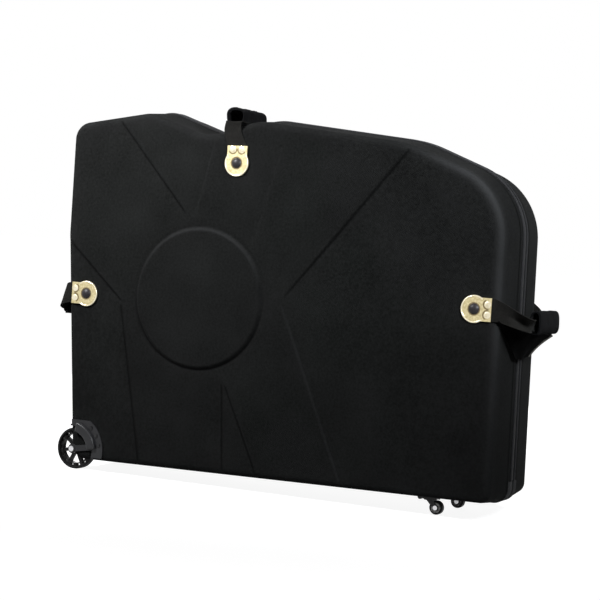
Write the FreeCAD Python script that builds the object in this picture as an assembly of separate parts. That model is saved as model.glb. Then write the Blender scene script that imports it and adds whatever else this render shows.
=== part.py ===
import FreeCAD, Part
import math
import os

vec = FreeCAD.Vector
os.makedirs("parts", exist_ok=True)

# Bike travel case: two moulded half shells that meet at y = 0, with a zip over the ends and the top
# and a fabric hinge along the underside. x runs to the right, -y is the front, z is up and the
# origin is on the floor under the middle of the overall length. Lengths are millimetres. The shapes
# are drawn from the middle of the case itself and moved to the origin when they are saved.

# Case body
case_length = 1176.0
case_depth = 272.0
shell_wall = 7.0
edge_radius = 18.0
draft = 9.0
zip_gap = 14.0

# Outline corners: heights above the floor, distances from the nearer end. The underside rises from
# the big wheels to the casters and the right end widens towards the floor.
left_lean = 50.0
left_foot_height = 20.0
left_break_height = 595.0
left_corner_height = 882.0
hump_from_left = 229.0
hump_height = 920.0
dip_from_left = 395.0
dip_height = 864.0
dome_from_left = 523.0
dome_height = 910.0
shoulder_from_right = 255.0
shoulder_height = 872.0
right_corner_height = 775.0
right_spread = 12.0
right_foot_height = 40.0
left_foot_radius = 45.0
right_foot_radius = 34.0
left_break_radius = 300.0
left_corner_radius = 52.0
hump_radius = 90.0
dip_radius = 110.0
dome_radius = 150.0
shoulder_radius = 300.0
right_corner_radius = 178.0

# Raised disc and the sunken panels around it
disc_from_left = 397.0
disc_height = 461.0
disc_radius = 174.0
disc_rise = 5.0
disc_slope = 5.0
hub_margin = 47.0
panel_depth = 3.0
panel_slope = 4.0
# Panel corners as shares of the hub radius, counted from the disc's centre
right_panel_shares = [(1.01, 0.035), (3.16, 2.70), (4.40, 2.70), (4.40, -2.60), (2.19, -2.60)]
left_panel_shares = [(-2.40, 1.14), (-1.006, -0.09), (-0.50, -2.60), (-2.40, -2.60)]
top_panel_shares = [(-0.205, 0.90), (-0.115, 0.91), (0.275, 2.60), (-1.744, 2.60)]
bottom_panel_shares = [(0.351, -0.90), (0.405, -0.93), (1.187, -2.60), (0.478, -2.60)]

# Zip, bindings and hinge
zip_end_height = 92.0
zip_tape_thickness = 1.2
zip_split = 0.3
coil_width = 6.0
coil_height = 1.8
binding_width = 8.0
binding_height = 4.0
binding_round = 2.5
hinge_width = 60.0
hinge_thickness = 1.5
hinge_end_height = 90.0

# Zip sliders and pulls
slider_length = 16.0
slider_width = 11.0
slider_thickness = 4.0
slider_gap = 0.4
slider_spacing = 130.0
lug_width = 2.0
lug_length = 6.0
lug_height = 6.0
pull_pin_radius = 1.0
pull_play = 0.1
pull_eye_radius = 2.2
pull_side_play = 0.4
pull_tab_length = 28.0
pull_tab_thickness = 1.6
pull_tail_length = 60.0
pull_tail_radius = 1.5
pull_bead_radius = 3.0

# Carry straps: setback is from the case edge to the plate's end, drop is how far the grip hangs
webbing_width = 52.0
webbing_thickness = 2.2
side_grip_length = 135.0
grip_width = 42.0
grip_thickness = 32.0
grip_neck_width = 30.0
grip_pocket_depth = 30.0
grip_pocket_height = 10.0
grip_pocket_play = 3.5
strap_tongue = 15.0
strap_bend_run = 20.0
right_strap_height = 491.0
right_plate_setback = 26.0
right_standoff = 58.0
right_drop = 20.0
right_bulge = 28.0
left_strap_height = 449.0
left_plate_setback = 20.0
left_standoff = 38.0
left_drop = 32.0
left_bulge = 12.0
top_strap_from_left = 480.0
top_plate_setback = 56.0
top_standoff = 22.0
top_bulge = 8.0
top_grip_length = 102.0
top_grip_forward = 56.0
top_drift = 20.0

# Strap plates and rivets
plate_ring_radius = 32.0
plate_neck_length = 42.0
plate_neck_width = 54.0
plate_thickness = 4.2
plate_seat_play = 0.3
pocket_play = 0.1
pocket_length = 22.0
cap_radius = 13.0
cap_height = 6.5
rivet_radius = 3.0
washer_radius = 10.0
washer_thickness = 1.5
neck_rivet_radius = 2.5
neck_rivet_head = 1.0
neck_rivet_spacing = 24.0
neck_rivet_setback = 9.0

# Big wheels
wheel_radius = 52.5
wheel_width = 24.0
wheel_setback = 24.0
axle_inset = 11.0
tyre_thickness = 6.0
tyre_round = 4.0
rim_thickness = 9.0
rim_width = 14.0
spoke_width = 9.0
spoke_depth = 8.0
spoke_count = 7
rim_hole_count = 14
rim_hole_length = 12.0
rim_hole_width = 5.0
hub_radius = 15.0
bearing_radius = 11.0
bearing_width = 7.0
axle_radius = 4.0
axle_play = 0.05
axle_head_radius = 7.0
axle_head_height = 5.0
nut_radius = 7.0
nut_height = 6.5

# Wheel housings
well_clearance = 6.0
well_wall = 4.0
side_clearance = 4.0
cheek_thickness = 6.0
flange_radius = 89.0
flange_inset = 14.0
flange_top = 75.0
fender_inner_radius = 46.0
fender_outer_radius = 70.0
fender_rise = 10.0
fender_round = 5.0
fender_start = 6.0
fender_end = 80.0
arm_width = 15.0
arm_slope = 9.0
boss_radius = 12.0
boss_gap = 0.3
boss_seat_radius = 7.0
housing_screw_circle = 79.0
housing_screw_angles = (12.0, 30.0, 48.0)
screw_radius = 2.0
screw_head_radius = 4.0
screw_head_height = 2.4
screw_grip = 3.0

# Casters
caster_from_right = 164.0
caster_y = 72.0
caster_trail = 20.0
caster_wheel_radius = 16.5
caster_wheel_width = 16.0
caster_wheel_round = 3.0
caster_axle_radius = 2.5
caster_axle_head = 5.5
caster_axle_head_height = 1.5
caster_plate_length = 48.0
caster_plate_width = 40.0
caster_plate_thickness = 2.0
caster_plate_round = 6.0
caster_boss_radius = 10.0
caster_boss_height = 1.2
swivel_gap = 0.3
crown_thickness = 2.0
crown_radius = 13.0
fork_leg_thickness = 2.0
fork_leg_gap = 0.8
fork_toe_radius = 7.0
kingpin_radius = 3.0
kingpin_head_radius = 5.0
kingpin_head_height = 2.0
caster_screw_length_spacing = 36.0
caster_screw_width_spacing = 28.0

# Divider and tie-downs inside
divider_margin = 60.0
divider_thickness = 8.0
divider_left_inset = 130.0
divider_top_height = 740.0
tie_width = 25.0
tie_thickness = 2.0
tie_anchor_length = 30.0
tie_spacing = 480.0
buckle_length = 40.0
buckle_width = 34.0
buckle_thickness = 8.0

# Cuts run this far past the faces they open
overrun = 20.0
tolerance = 0.01

# Derived places
half_length = case_length / 2
half_depth = case_depth / 2
zip_half = zip_gap / 2
hub_ring = disc_radius + hub_margin
disc_centre = (disc_from_left - half_length, disc_height)
foot_left = -(half_length - left_lean)
foot_right = half_length + right_spread
rim_land = hinge_width / 2
panel_level = half_depth - panel_depth
lean_angle = math.degrees(math.atan2(left_lean, left_break_height - left_foot_height))
axle_x = foot_left + axle_inset
axle_z = wheel_radius
wheel_y = half_depth - wheel_setback
arm_inner = wheel_y + wheel_width / 2 + side_clearance
cheek_outer = wheel_y - wheel_width / 2 - side_clearance
cheek_inner = cheek_outer - cheek_thickness
well_radius = wheel_radius + well_clearance
cut_radius = well_radius + well_wall
collar_end = cheek_inner - nut_height - side_clearance
caster_x = half_length - caster_from_right
clip_reach = case_length + case_depth
Y_AXIS = vec(0, 1, 0)
FRONT = vec(0, -1, 0)


# Shared shapes
def rounded_edges(corners, radii, closed):
    """Lines joined by tangent arcs through the given corners."""
    count = len(corners)
    stops = []
    for index, corner in enumerate(corners):
        if not closed and index in (0, count - 1):
            stops.append((corner, None, corner))
            continue
        back = (corners[index - 1] - corner).normalize()
        ahead = (corners[(index + 1) % count] - corner).normalize()
        half_angle = back.getAngle(ahead) / 2
        tangent = radii[index] / math.tan(half_angle)
        inward = (back + ahead).normalize()
        middle = corner + inward * (radii[index] / math.sin(half_angle) - radii[index])
        stops.append((corner + back * tangent, middle, corner + ahead * tangent))
    edges = []
    for index, (enter, middle, leave) in enumerate(stops):
        if middle is not None:
            edges.append(Part.Arc(enter, middle, leave).toShape())
        if closed or index < count - 1:
            edges.append(Part.LineSegment(leave, stops[(index + 1) % count][0]).toShape())
    return edges


def case_outline(offset):
    """The closed outline of the case at y = 0, grown by an offset."""
    ends = [(foot_left, left_foot_height, left_foot_radius),
            (-half_length, left_break_height, left_break_radius),
            (-half_length, left_corner_height, left_corner_radius),
            (hump_from_left - half_length, hump_height, hump_radius),
            (dip_from_left - half_length, dip_height, dip_radius),
            (dome_from_left - half_length, dome_height, dome_radius),
            (half_length - shoulder_from_right, shoulder_height, shoulder_radius),
            (half_length, right_corner_height, right_corner_radius),
            (foot_right, right_foot_height, right_foot_radius)]
    corners = [vec(x, 0, height) for x, height, _ in ends]
    wire = Part.Wire(rounded_edges(corners, [radius for _, _, radius in ends], True))
    if offset:
        wire = wire.makeOffset2D(offset).Wires[0]
    return wire


def slab(offset, y_start, y_end):
    """The case outline, grown by an offset and extruded between two depths."""
    face = Part.Face(case_outline(offset))
    face.translate(vec(0, y_start, 0))
    return face.extrude(vec(0, y_end - y_start, 0))


def band(outer_offset, inner_offset, y_start, y_end):
    """A closed strip that follows the outline."""
    return slab(outer_offset, y_start, y_end).cut(slab(inner_offset, y_start, y_end))


def underside_at(x):
    """Height of the case's underside along its rim."""
    share = (x - foot_left) / (foot_right - foot_left)
    return left_foot_height + share * (right_foot_height - left_foot_height)


def side_at(height):
    """Left side of the case at a height below its break."""
    return foot_left - left_lean * (height - left_foot_height) / (left_break_height - left_foot_height)


def right_side_at(height):
    """Right side of the case at a height below its corner."""
    share = (right_corner_height - height) / (right_corner_height - right_foot_height)
    return half_length + share * right_spread


def narrowed(y):
    """How far the outline has drawn in at a depth, because the shells taper beyond their rims."""
    return draft * max(0.0, abs(y) - rim_land) / (half_depth - rim_land)


def tapered(offset, y_end):
    """A solid front half: straight along the rim, then drawn in towards the face."""
    rim = slab(offset, 0, -rim_land)
    wires = []
    for depth in (rim_land, y_end):
        wire = case_outline(offset - narrowed(depth))
        wire.translate(vec(0, -depth, 0))
        wires.append(wire)
    return rim.fuse(Part.makeLoft(wires, True, True)).removeSplitter()


def half_space(z_low, z_high):
    """Everything between two heights."""
    box = Part.makeBox(2 * clip_reach, 2 * clip_reach, z_high - z_low)
    box.translate(vec(-clip_reach, -clip_reach, z_low))
    return box


def block(x_low, x_high, y_low, y_high, z_low, z_high):
    return Part.makeBox(x_high - x_low, y_high - y_low, z_high - z_low, vec(x_low, y_low, z_low))


def rod(radius, y_start, y_end, x, z):
    """A cylinder along y."""
    return Part.makeCylinder(radius, abs(y_end - y_start), vec(x, min(y_start, y_end), z), Y_AXIS)


def post(radius, z_start, z_end, x, y):
    """An upright cylinder."""
    return Part.makeCylinder(radius, z_end - z_start, vec(x, y, z_start))


def edges_at_depth(shape, y):
    """Edges that lie in the plane at depth y."""
    return [edge for edge in shape.Edges
            if all(abs(vertex.Y - y) < tolerance for vertex in edge.Vertexes)]


def joined(shapes):
    return shapes[0].multiFuse(shapes[1:]).removeSplitter()


def mirrored(shape):
    """The same piece on the other half of the case."""
    return shape.mirror(vec(0, 0, 0), Y_AXIS)


def save(name, shape):
    moved = shape.copy()
    moved.translate(vec(origin_shift(), 0, 0))
    moved.exportStep("parts/" + name + ".step")


def save_pair(name, shape):
    """A piece of the front half and its twin on the rear half."""
    save("front_" + name, shape)
    save("rear_" + name, mirrored(shape))


# Half shells
def panel_pocket(shares):
    """A sunken panel with sloped sides, open towards the front."""
    points = [vec(disc_centre[0] + across * hub_ring, 0, disc_centre[1] + up * hub_ring)
              for across, up in shares]
    rim = Part.Wire(Part.makePolygon(points + points[:1]).Edges)
    floor = rim.makeOffset2D(-panel_slope, 2).Wires[0]
    mouth = rim.makeOffset2D(panel_slope * overrun / panel_depth, 2).Wires[0]
    floor.translate(vec(0, -panel_level, 0))
    mouth.translate(vec(0, -half_depth - overrun, 0))
    return Part.makeLoft([floor, mouth], True, True)


def rivet_places():
    """Centre of each front strap plate's ring: x, z and the face level it sits on."""
    places = []
    for strap in straps:
        ring = strap["edge"] - strap["setback"] - plate_neck_length
        places.append((to_face(strap, ring, 0), strap["level"]))
    return places


def screw_places():
    """Housing screws on the flange, as x and z."""
    places = []
    for angle in housing_screw_angles:
        turn = math.radians(angle)
        places.append((axle_x + housing_screw_circle * math.cos(turn),
                       axle_z + housing_screw_circle * math.sin(turn)))
    return places


def caster_screw_places():
    """Caster plate screws, as x and y on the front half."""
    half_x = caster_screw_length_spacing / 2
    half_y = caster_screw_width_spacing / 2
    return [(caster_x + side_x * half_x, -caster_y + side_y * half_y)
            for side_x in (-1, 1) for side_y in (-1, 1)]


def half_shell():
    inner_face = half_depth - shell_wall
    body = tapered(0, half_depth)
    body = body.makeFillet(edge_radius, edges_at_depth(body, -half_depth))
    hollow = tapered(-shell_wall, inner_face)
    hollow = hollow.makeFillet(edge_radius - shell_wall, edges_at_depth(hollow, -inner_face))
    shell = body.cut(hollow).cut(slab(overrun, -zip_half, 0))
    for shares in (right_panel_shares, left_panel_shares, top_panel_shares, bottom_panel_shares):
        shell = shell.cut(panel_pocket(shares))
    disc = Part.makeCone(disc_radius, disc_radius - disc_slope, disc_rise + panel_depth,
                         vec(disc_centre[0], -panel_level, disc_centre[1]), FRONT)
    shell = shell.fuse(disc)
    well = rod(cut_radius, -half_depth - overrun, -collar_end, axle_x, axle_z)
    holes = [well] + [plate_seat(strap) for strap in straps]
    for (x, z), level in rivet_places():
        holes.append(rod(rivet_radius, -level - overrun, -level + shell_wall, x, z))
    for x, z in screw_places():
        holes.append(rod(screw_radius, -panel_level - overrun, -panel_level + shell_wall, x, z))
    for x, y in caster_screw_places():
        holes.append(post(screw_radius, 0, case_depth, x, y))
    return shell.cut(Part.makeCompound(holes)).removeSplitter()


# Zip, bindings and hinge
def zip_strip(outer_offset, inner_offset, y_start, y_end):
    """A strip over the ends and the top, ending above both lower corners."""
    strip = band(outer_offset, inner_offset, y_start, y_end)
    return strip.common(half_space(zip_end_height, clip_reach))


def rim_binding():
    strip = zip_strip(binding_height, 0, -zip_half - binding_width, -zip_half)
    ring = slab(binding_height, -zip_half - binding_width, -zip_half)
    strip_edges = []
    for depth in (-zip_half - binding_width, -zip_half):
        for edge in edges_at_depth(strip, depth):
            middle = edge.valueAt((edge.FirstParameter + edge.LastParameter) / 2)
            if ring.Shells[0].distToShape(Part.Vertex(middle))[0] < tolerance and not on_cut_end(edge):
                if not inner_edge(middle):
                    strip_edges.append(edge)
    return strip.makeFillet(binding_round, strip_edges)


def on_cut_end(edge):
    """Whether an edge lies in the plane where the strips end."""
    return all(abs(vertex.Z - zip_end_height) < tolerance for vertex in edge.Vertexes)


def inner_edge(point):
    """Whether a point lies on the case outline itself."""
    flat = Part.Vertex(vec(point.x, 0, point.z))
    return case_outline(0).distToShape(flat)[0] < binding_height / 2


def hinge_leaf():
    leaf = band(hinge_thickness, 0, -hinge_width / 2, -zip_split / 2)
    return leaf.common(half_space(-clip_reach, hinge_end_height))


# Zip sliders and pulls, built on an upright left side at x = 0 and then leaned onto the case
def lean_onto_side(shape, height):
    """Moves a piece from the upright side to the leaning left side, at a height above the floor."""
    shape.rotate(vec(0, 0, 0), Y_AXIS, -lean_angle)
    shape.translate(vec(side_at(height), 0, height))
    return shape


def slider_face():
    """Outer face of a slider, as an x on the upright side."""
    return -(coil_height + slider_gap + slider_thickness)


def pull_hinge():
    """Pull pin centre on the upright side: x and z."""
    return slider_face() - lug_height / 2, slider_length - lug_length / 2


def zip_slider(height):
    face = slider_face()
    pin_x, pin_z = pull_hinge()
    pieces = [block(face, face + slider_thickness, -slider_width / 2, slider_width / 2, 0, slider_length)]
    for side in (-1, 1):
        outer = side * slider_width / 2
        inner = side * (slider_width / 2 - lug_width)
        pieces.append(block(face - lug_height, face, min(outer, inner), max(outer, inner),
                            slider_length - lug_length, slider_length))
    pieces.append(rod(pull_pin_radius, -slider_width / 2 + lug_width / 2, slider_width / 2 - lug_width / 2,
                      pin_x, pin_z))
    return lean_onto_side(joined(pieces), height)


def zip_pull(height):
    """A pull that hangs plumb from its slider's pin, drawn with the pin at the origin."""
    half_width = slider_width / 2 - lug_width - pull_side_play
    tab_half = pull_tab_thickness / 2
    tail_end = -pull_tab_length - pull_tail_length
    pieces = [rod(pull_eye_radius, -half_width, half_width, 0, 0),
              block(-tab_half, tab_half, -half_width, half_width, -pull_tab_length, 0),
              post(pull_tail_radius, tail_end, -pull_tab_length + pull_tail_radius, 0, 0),
              Part.makeSphere(pull_bead_radius, vec(0, 0, tail_end))]
    pull = joined(pieces).cut(rod(pull_pin_radius + pull_play, -slider_width, slider_width, 0, 0))
    pin_x, pin_z = pull_hinge()
    pin = lean_onto_side(Part.Vertex(pin_x, 0, pin_z), height).Point
    pull.translate(pin)
    return pull


# Carry straps. Each strap is drawn with its outward direction along x and its width along z, then
# turned about y: the right one stays, the top one turns up and the left one turns over.
straps = [
    {"name": "right", "turn": 0.0, "edge": right_side_at(right_strap_height), "across": right_strap_height,
     "setback": right_plate_setback, "standoff": right_standoff, "drop": -right_drop,
     "bulge": right_bulge, "length": side_grip_length, "forward": 0.0, "level": panel_level},
    {"name": "top", "turn": -90.0, "edge": dip_height + (dome_height - dip_height)
     * (top_strap_from_left - dip_from_left) / (dome_from_left - dip_from_left),
     "across": half_length - top_strap_from_left,
     "setback": top_plate_setback, "standoff": top_standoff, "drop": top_drift,
     "bulge": top_bulge, "length": top_grip_length, "forward": top_grip_forward, "level": half_depth},
    {"name": "left", "turn": 180.0, "edge": -side_at(left_strap_height), "across": -left_strap_height,
     "setback": left_plate_setback, "standoff": left_standoff, "drop": left_drop,
     "bulge": left_bulge, "length": side_grip_length, "forward": 0.0, "level": panel_level},
]


def origin_shift():
    """Brings the middle of the overall length, grips included, to x = 0."""
    reach = {strap["name"]: strap["edge"] + strap["standoff"] for strap in straps}
    return (reach["left"] - reach["right"]) / 2


def turned(strap, shape):
    shape.rotate(vec(0, 0, 0), Y_AXIS, strap["turn"])
    return shape


def to_face(strap, outward, across):
    """Case x and z of a point given in a strap's own directions."""
    point = FreeCAD.Rotation(Y_AXIS, strap["turn"]).multVec(vec(outward, 0, strap["across"] + across))
    return point.x, point.z


def plate_blank(strap, grown, thickness):
    """Ring and neck of a plate, grown all round, standing on the face level that it sits on."""
    end = strap["edge"] - strap["setback"]
    ring = end - plate_neck_length
    top = -strap["level"] - thickness
    half_width = plate_neck_width / 2 + grown
    return joined([rod(plate_ring_radius + grown, top, -strap["level"], ring, strap["across"]),
                   block(ring, end + grown, top, -strap["level"],
                         strap["across"] - half_width, strap["across"] + half_width)])


def plate_seat(strap):
    """The flat seat that a plate needs in the shell."""
    return turned(strap, plate_blank(strap, plate_seat_play, overrun))


def strap_plate(strap):
    end = strap["edge"] - strap["setback"]
    ring = end - plate_neck_length
    level = strap["level"]
    across = strap["across"]
    body = plate_blank(strap, 0, plate_thickness)
    half_pocket = webbing_width / 2 + pocket_play
    pocket = block(end - pocket_length, end + overrun, -level - webbing_thickness, -level,
                   across - half_pocket, across + half_pocket)
    holes = [pocket, rod(rivet_radius, -level - plate_thickness - overrun, -level, ring, across)]
    for side in (-1, 1):
        holes.append(rod(neck_rivet_radius, -level - plate_thickness - overrun, -level,
                         end - neck_rivet_setback, across + side * neck_rivet_spacing / 2))
    return turned(strap, body.cut(Part.makeCompound(holes)))


def rivet_cap(strap):
    ring = strap["edge"] - strap["setback"] - plate_neck_length
    level = strap["level"]
    seat = -level - plate_thickness
    sphere_radius = (cap_radius ** 2 + cap_height ** 2) / (2 * cap_height)
    ball = Part.makeSphere(sphere_radius, vec(ring, seat - cap_height + sphere_radius, strap["across"]))
    dome = ball.common(rod(cap_radius, seat, seat - cap_height - overrun, ring, strap["across"]))
    stem_end = -half_depth + shell_wall + washer_thickness
    return turned(strap, joined([dome, rod(rivet_radius, seat, stem_end, ring, strap["across"])]))


def rivet_washer(strap):
    ring = strap["edge"] - strap["setback"] - plate_neck_length
    inner_face = -half_depth + shell_wall
    ring_shape = rod(washer_radius, inner_face, inner_face + washer_thickness, ring, strap["across"])
    return turned(strap, ring_shape.cut(rod(rivet_radius, inner_face - overrun, 0, ring, strap["across"])))


def neck_rivets(strap):
    end = strap["edge"] - strap["setback"]
    level = strap["level"]
    seat = -level - plate_thickness
    rivets = []
    for side in (-1, 1):
        across = strap["across"] + side * neck_rivet_spacing / 2
        stem = rod(neck_rivet_radius, seat, -level, end - neck_rivet_setback, across)
        head = rod(neck_rivet_radius + neck_rivet_head, seat - neck_rivet_head, seat,
                   end - neck_rivet_setback, across)
        rivets.append(turned(strap, joined([stem, head])))
    return rivets


def webbing(strap, half):
    """One half of a strap, from its plate over the edge and into the grip; half is -1 front, 1 rear."""
    edge = strap["edge"]
    level = strap["level"] + webbing_thickness / 2
    grip_start = strap["length"] / 2 - half * strap["forward"]
    lead_start = edge - strap["setback"] - pocket_length
    out = edge + strap["standoff"]
    tongue = strap_tongue
    if half > 0:
        tongue = strap["length"] - strap_tongue - grip_pocket_depth / 2
    bend_y = grip_start + strap_bend_run
    corners = [vec(lead_start, half * level, 0), vec(edge + strap["bulge"], half * level, 0),
               vec(out, half * bend_y, 0), vec(out, half * (grip_start - tongue), 0)]
    bend_radius = strap["standoff"] - strap["bulge"]
    path = Part.Wire(rounded_edges(corners, [0, bend_radius / 2, bend_radius, 0], False))
    side = webbing_thickness / 2
    rim = [path.makeOffset2D(offset, 0, False, True).Wires[0] for offset in (-side, side)]
    caps = [Part.LineSegment(rim[0].OrderedVertexes[k].Point, rim[1].OrderedVertexes[k].Point).toShape()
            for k in (0, -1)]
    face = Part.Face(Part.Wire(Part.__sortEdges__(rim[0].Edges + rim[1].Edges + caps)))
    face.translate(vec(0, 0, strap["across"] - webbing_width))
    sheet = face.extrude(vec(0, 0, 2 * webbing_width)).common(webbing_width_outline(strap, lead_start, out))
    for rivet_side in (-1, 1):
        sheet = sheet.cut(rod(neck_rivet_radius, half * half_depth / 2, half * case_depth,
                              edge - strap["setback"] - neck_rivet_setback,
                              strap["across"] + rivet_side * neck_rivet_spacing / 2))
    return turned(strap, sheet)


def webbing_width_outline(strap, lead_start, out):
    """The webbing's width: full at the plate, drawn in and dropped at the grip."""
    across = strap["across"]
    grip_across = across + strap["drop"]
    full = webbing_width / 2
    narrow = grip_neck_width / 2
    near = strap["edge"] - edge_radius
    far = out - strap["standoff"] / 4
    past = out + overrun
    points = [(lead_start, across - full), (near, across - full), (far, grip_across - narrow),
              (past, grip_across - narrow), (past, grip_across + narrow), (far, grip_across + narrow),
              (near, across + full), (lead_start, across + full)]
    corners = [vec(x, -clip_reach, z) for x, z in points]
    return Part.Face(Part.makePolygon(corners + corners[:1])).extrude(vec(0, 2 * clip_reach, 0))


def grip(strap):
    """The rolled sleeve round both ends of a strap, open towards the front half's tongue."""
    out = strap["edge"] + strap["standoff"]
    across = strap["across"] + strap["drop"]
    length = strap["length"]
    start = -length / 2 - strap["forward"]
    flat = (grip_width - grip_thickness) / 2
    body = joined([rod(grip_thickness / 2, start, start + length, out, across - flat),
                   rod(grip_thickness / 2, start, start + length, out, across + flat),
                   block(out - grip_thickness / 2, out + grip_thickness / 2, start, start + length,
                         across - flat, across + flat)])
    pocket = block(out - grip_pocket_height / 2, out + grip_pocket_height / 2, start - overrun,
                   start + grip_pocket_depth, across - grip_neck_width / 2 - grip_pocket_play,
                   across + grip_neck_width / 2 + grip_pocket_play)
    slot = block(out - webbing_thickness / 2, out + webbing_thickness / 2, start, start + length + overrun,
                 across - grip_neck_width / 2, across + grip_neck_width / 2)
    return turned(strap, body.cut(Part.makeCompound([pocket, slot])))


# Big wheels
def wheel_tyre():
    half = wheel_width / 2
    ring = rod(wheel_radius, -wheel_y - half, -wheel_y + half, axle_x, axle_z)
    outer_edges = edges_at_depth(ring, -wheel_y - half) + edges_at_depth(ring, -wheel_y + half)
    ring = ring.makeFillet(tyre_round, outer_edges)
    return ring.cut(rod(wheel_radius - tyre_thickness, -case_depth, 0, axle_x, axle_z))


def wheel_core():
    outer = wheel_radius - tyre_thickness
    inner = outer - rim_thickness
    rim = rod(outer, -wheel_y - rim_width / 2, -wheel_y + rim_width / 2, axle_x, axle_z)
    rim = rim.cut(rod(inner, -case_depth, 0, axle_x, axle_z))
    holes = []
    for index in range(rim_hole_count):
        straight = (rim_hole_length - rim_hole_width) / 2
        middle = (outer + inner) / 2
        slot = [rod(rim_hole_width / 2, -case_depth, 0, axle_x + side * straight, axle_z + middle)
                for side in (-1, 1)]
        slot.append(block(axle_x - straight, axle_x + straight, -case_depth, 0,
                          axle_z + middle - rim_hole_width / 2, axle_z + middle + rim_hole_width / 2))
        hole = joined(slot)
        hole.rotate(vec(axle_x, 0, axle_z), Y_AXIS, (index + 0.5) * 360.0 / rim_hole_count)
        holes.append(hole)
    rim = rim.cut(Part.makeCompound(holes))
    pieces = [rim, rod(hub_radius, -wheel_y - wheel_width / 2, -wheel_y + wheel_width / 2, axle_x, axle_z)]
    for index in range(spoke_count):
        spoke = block(axle_x - spoke_width / 2, axle_x + spoke_width / 2,
                      -wheel_y - spoke_depth / 2, -wheel_y + spoke_depth / 2,
                      axle_z + bearing_radius, axle_z + (inner + outer) / 2 - rim_hole_width / 2)
        spoke.rotate(vec(axle_x, 0, axle_z), Y_AXIS, index * 360.0 / spoke_count)
        pieces.append(spoke)
    return joined(pieces).cut(wheel_bearing_room())


def wheel_bearing_room():
    """Seats for both bearings and the clear bore between them."""
    half = wheel_width / 2
    seats = [rod(bearing_radius, -wheel_y - half, -wheel_y - half + bearing_width, axle_x, axle_z),
             rod(bearing_radius, -wheel_y + half - bearing_width, -wheel_y + half, axle_x, axle_z),
             rod(bearing_radius - axle_radius / 2, -wheel_y - half, -wheel_y + half, axle_x, axle_z)]
    return joined(seats)


def wheel_bearings():
    bearings = []
    for end in (-1, 1):
        face = -wheel_y + end * wheel_width / 2
        ring = rod(bearing_radius, face, face - end * bearing_width, axle_x, axle_z)
        bearings.append(ring.cut(rod(axle_radius + axle_play, -case_depth, 0, axle_x, axle_z)))
    return bearings


def axle_bolt():
    head_seat = -half_depth
    shank = rod(axle_radius, head_seat, -cheek_inner + nut_height, axle_x, axle_z)
    head = rod(axle_head_radius, head_seat - axle_head_height, head_seat, axle_x, axle_z)
    return joined([shank, head])


def axle_nut():
    corners = []
    for index in range(7):
        turn = math.radians(60.0 * index)
        corners.append(vec(axle_x + nut_radius * math.cos(turn), -cheek_inner,
                           axle_z + nut_radius * math.sin(turn)))
    nut = Part.Face(Part.makePolygon(corners)).extrude(vec(0, nut_height, 0))
    return nut.cut(rod(axle_radius, -cheek_inner - overrun, 0, axle_x, axle_z))


# Wheel housings
def sector(radius, start, end, y_start, y_end):
    """A pie slice round the axle between two angles from the +x direction."""
    corners = [vec(axle_x, y_start, axle_z)]
    for angle in (start, (start + end) / 2, end):
        turn = math.radians(angle)
        corners.append(vec(axle_x + radius * math.cos(turn), y_start, axle_z + radius * math.sin(turn)))
    edges = [Part.LineSegment(corners[0], corners[1]).toShape(),
             Part.Arc(corners[1], corners[2], corners[3]).toShape(),
             Part.LineSegment(corners[3], corners[0]).toShape()]
    return Part.Face(Part.Wire(edges)).extrude(vec(0, y_end - y_start, 0))


def fender():
    front = -half_depth - fender_rise
    proud = sector(fender_outer_radius, fender_start, fender_end, front, -panel_level)
    seated = sector(cut_radius, fender_start, fender_end, -panel_level, -arm_inner)
    core = rod(fender_inner_radius, front - overrun, 0, axle_x, axle_z)
    proud = proud.cut(core)
    proud = proud.makeFillet(fender_round, edges_at_depth(proud, front))
    return joined([proud, seated.cut(core)])


def hub_arm(y_start, y_end):
    """A bar from the axle out to the well wall, with a round boss at the axle."""
    bar = block(axle_x, axle_x + well_radius, min(y_start, y_end), max(y_start, y_end),
                axle_z - arm_width / 2, axle_z + arm_width / 2)
    bar.rotate(vec(axle_x, 0, axle_z), Y_AXIS, -arm_slope)
    return joined([bar, rod(boss_radius, y_start, y_end, axle_x, axle_z)])


def wheel_housing():
    inside = tapered(0, half_depth)
    face_inside = slab(-flange_inset, -half_depth, -panel_level)
    tube = rod(cut_radius, -panel_level, -collar_end, axle_x, axle_z)
    tube = tube.cut(rod(well_radius, -half_depth - overrun, -cheek_outer, axle_x, axle_z))
    tube = tube.cut(rod(well_radius, -cheek_inner, 0, axle_x, axle_z)).common(inside)
    flange = rod(flange_radius, -half_depth, -panel_level, axle_x, axle_z)
    flange = flange.cut(rod(well_radius, -half_depth - overrun, 0, axle_x, axle_z)).common(face_inside)
    flange = flange.common(half_space(-clip_reach, axle_z + flange_top))
    seat_gap = side_clearance - boss_gap
    pieces = [tube, flange, fender(), hub_arm(-half_depth, -arm_inner), hub_arm(-cheek_outer, -cheek_inner),
              rod(boss_seat_radius, -arm_inner, -arm_inner + seat_gap, axle_x, axle_z),
              rod(boss_seat_radius, -cheek_outer, -cheek_outer - seat_gap, axle_x, axle_z)]
    housing = joined(pieces)
    holes = [rod(axle_radius, -half_depth - overrun, 0, axle_x, axle_z)]
    for x, z in screw_places():
        holes.append(rod(screw_radius, -half_depth - overrun, -panel_level + overrun, x, z))
    return housing.cut(Part.makeCompound(holes))


def screws():
    """Housing screws and caster screws of one half."""
    solids = []
    for x, z in screw_places():
        shank_end = -panel_level + shell_wall - panel_depth + screw_grip
        solids.append(joined([rod(screw_radius, -half_depth, shank_end, x, z),
                              rod(screw_head_radius, -half_depth - screw_head_height, -half_depth, x, z)]))
    for x, y in caster_screw_places():
        inner_face = underside_at(x) + narrowed(y) + shell_wall
        solids.append(joined([post(screw_radius, plate_under, inner_face + screw_grip, x, y),
                              post(screw_head_radius, plate_under - screw_head_height, plate_under, x, y)]))
    return solids


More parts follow.
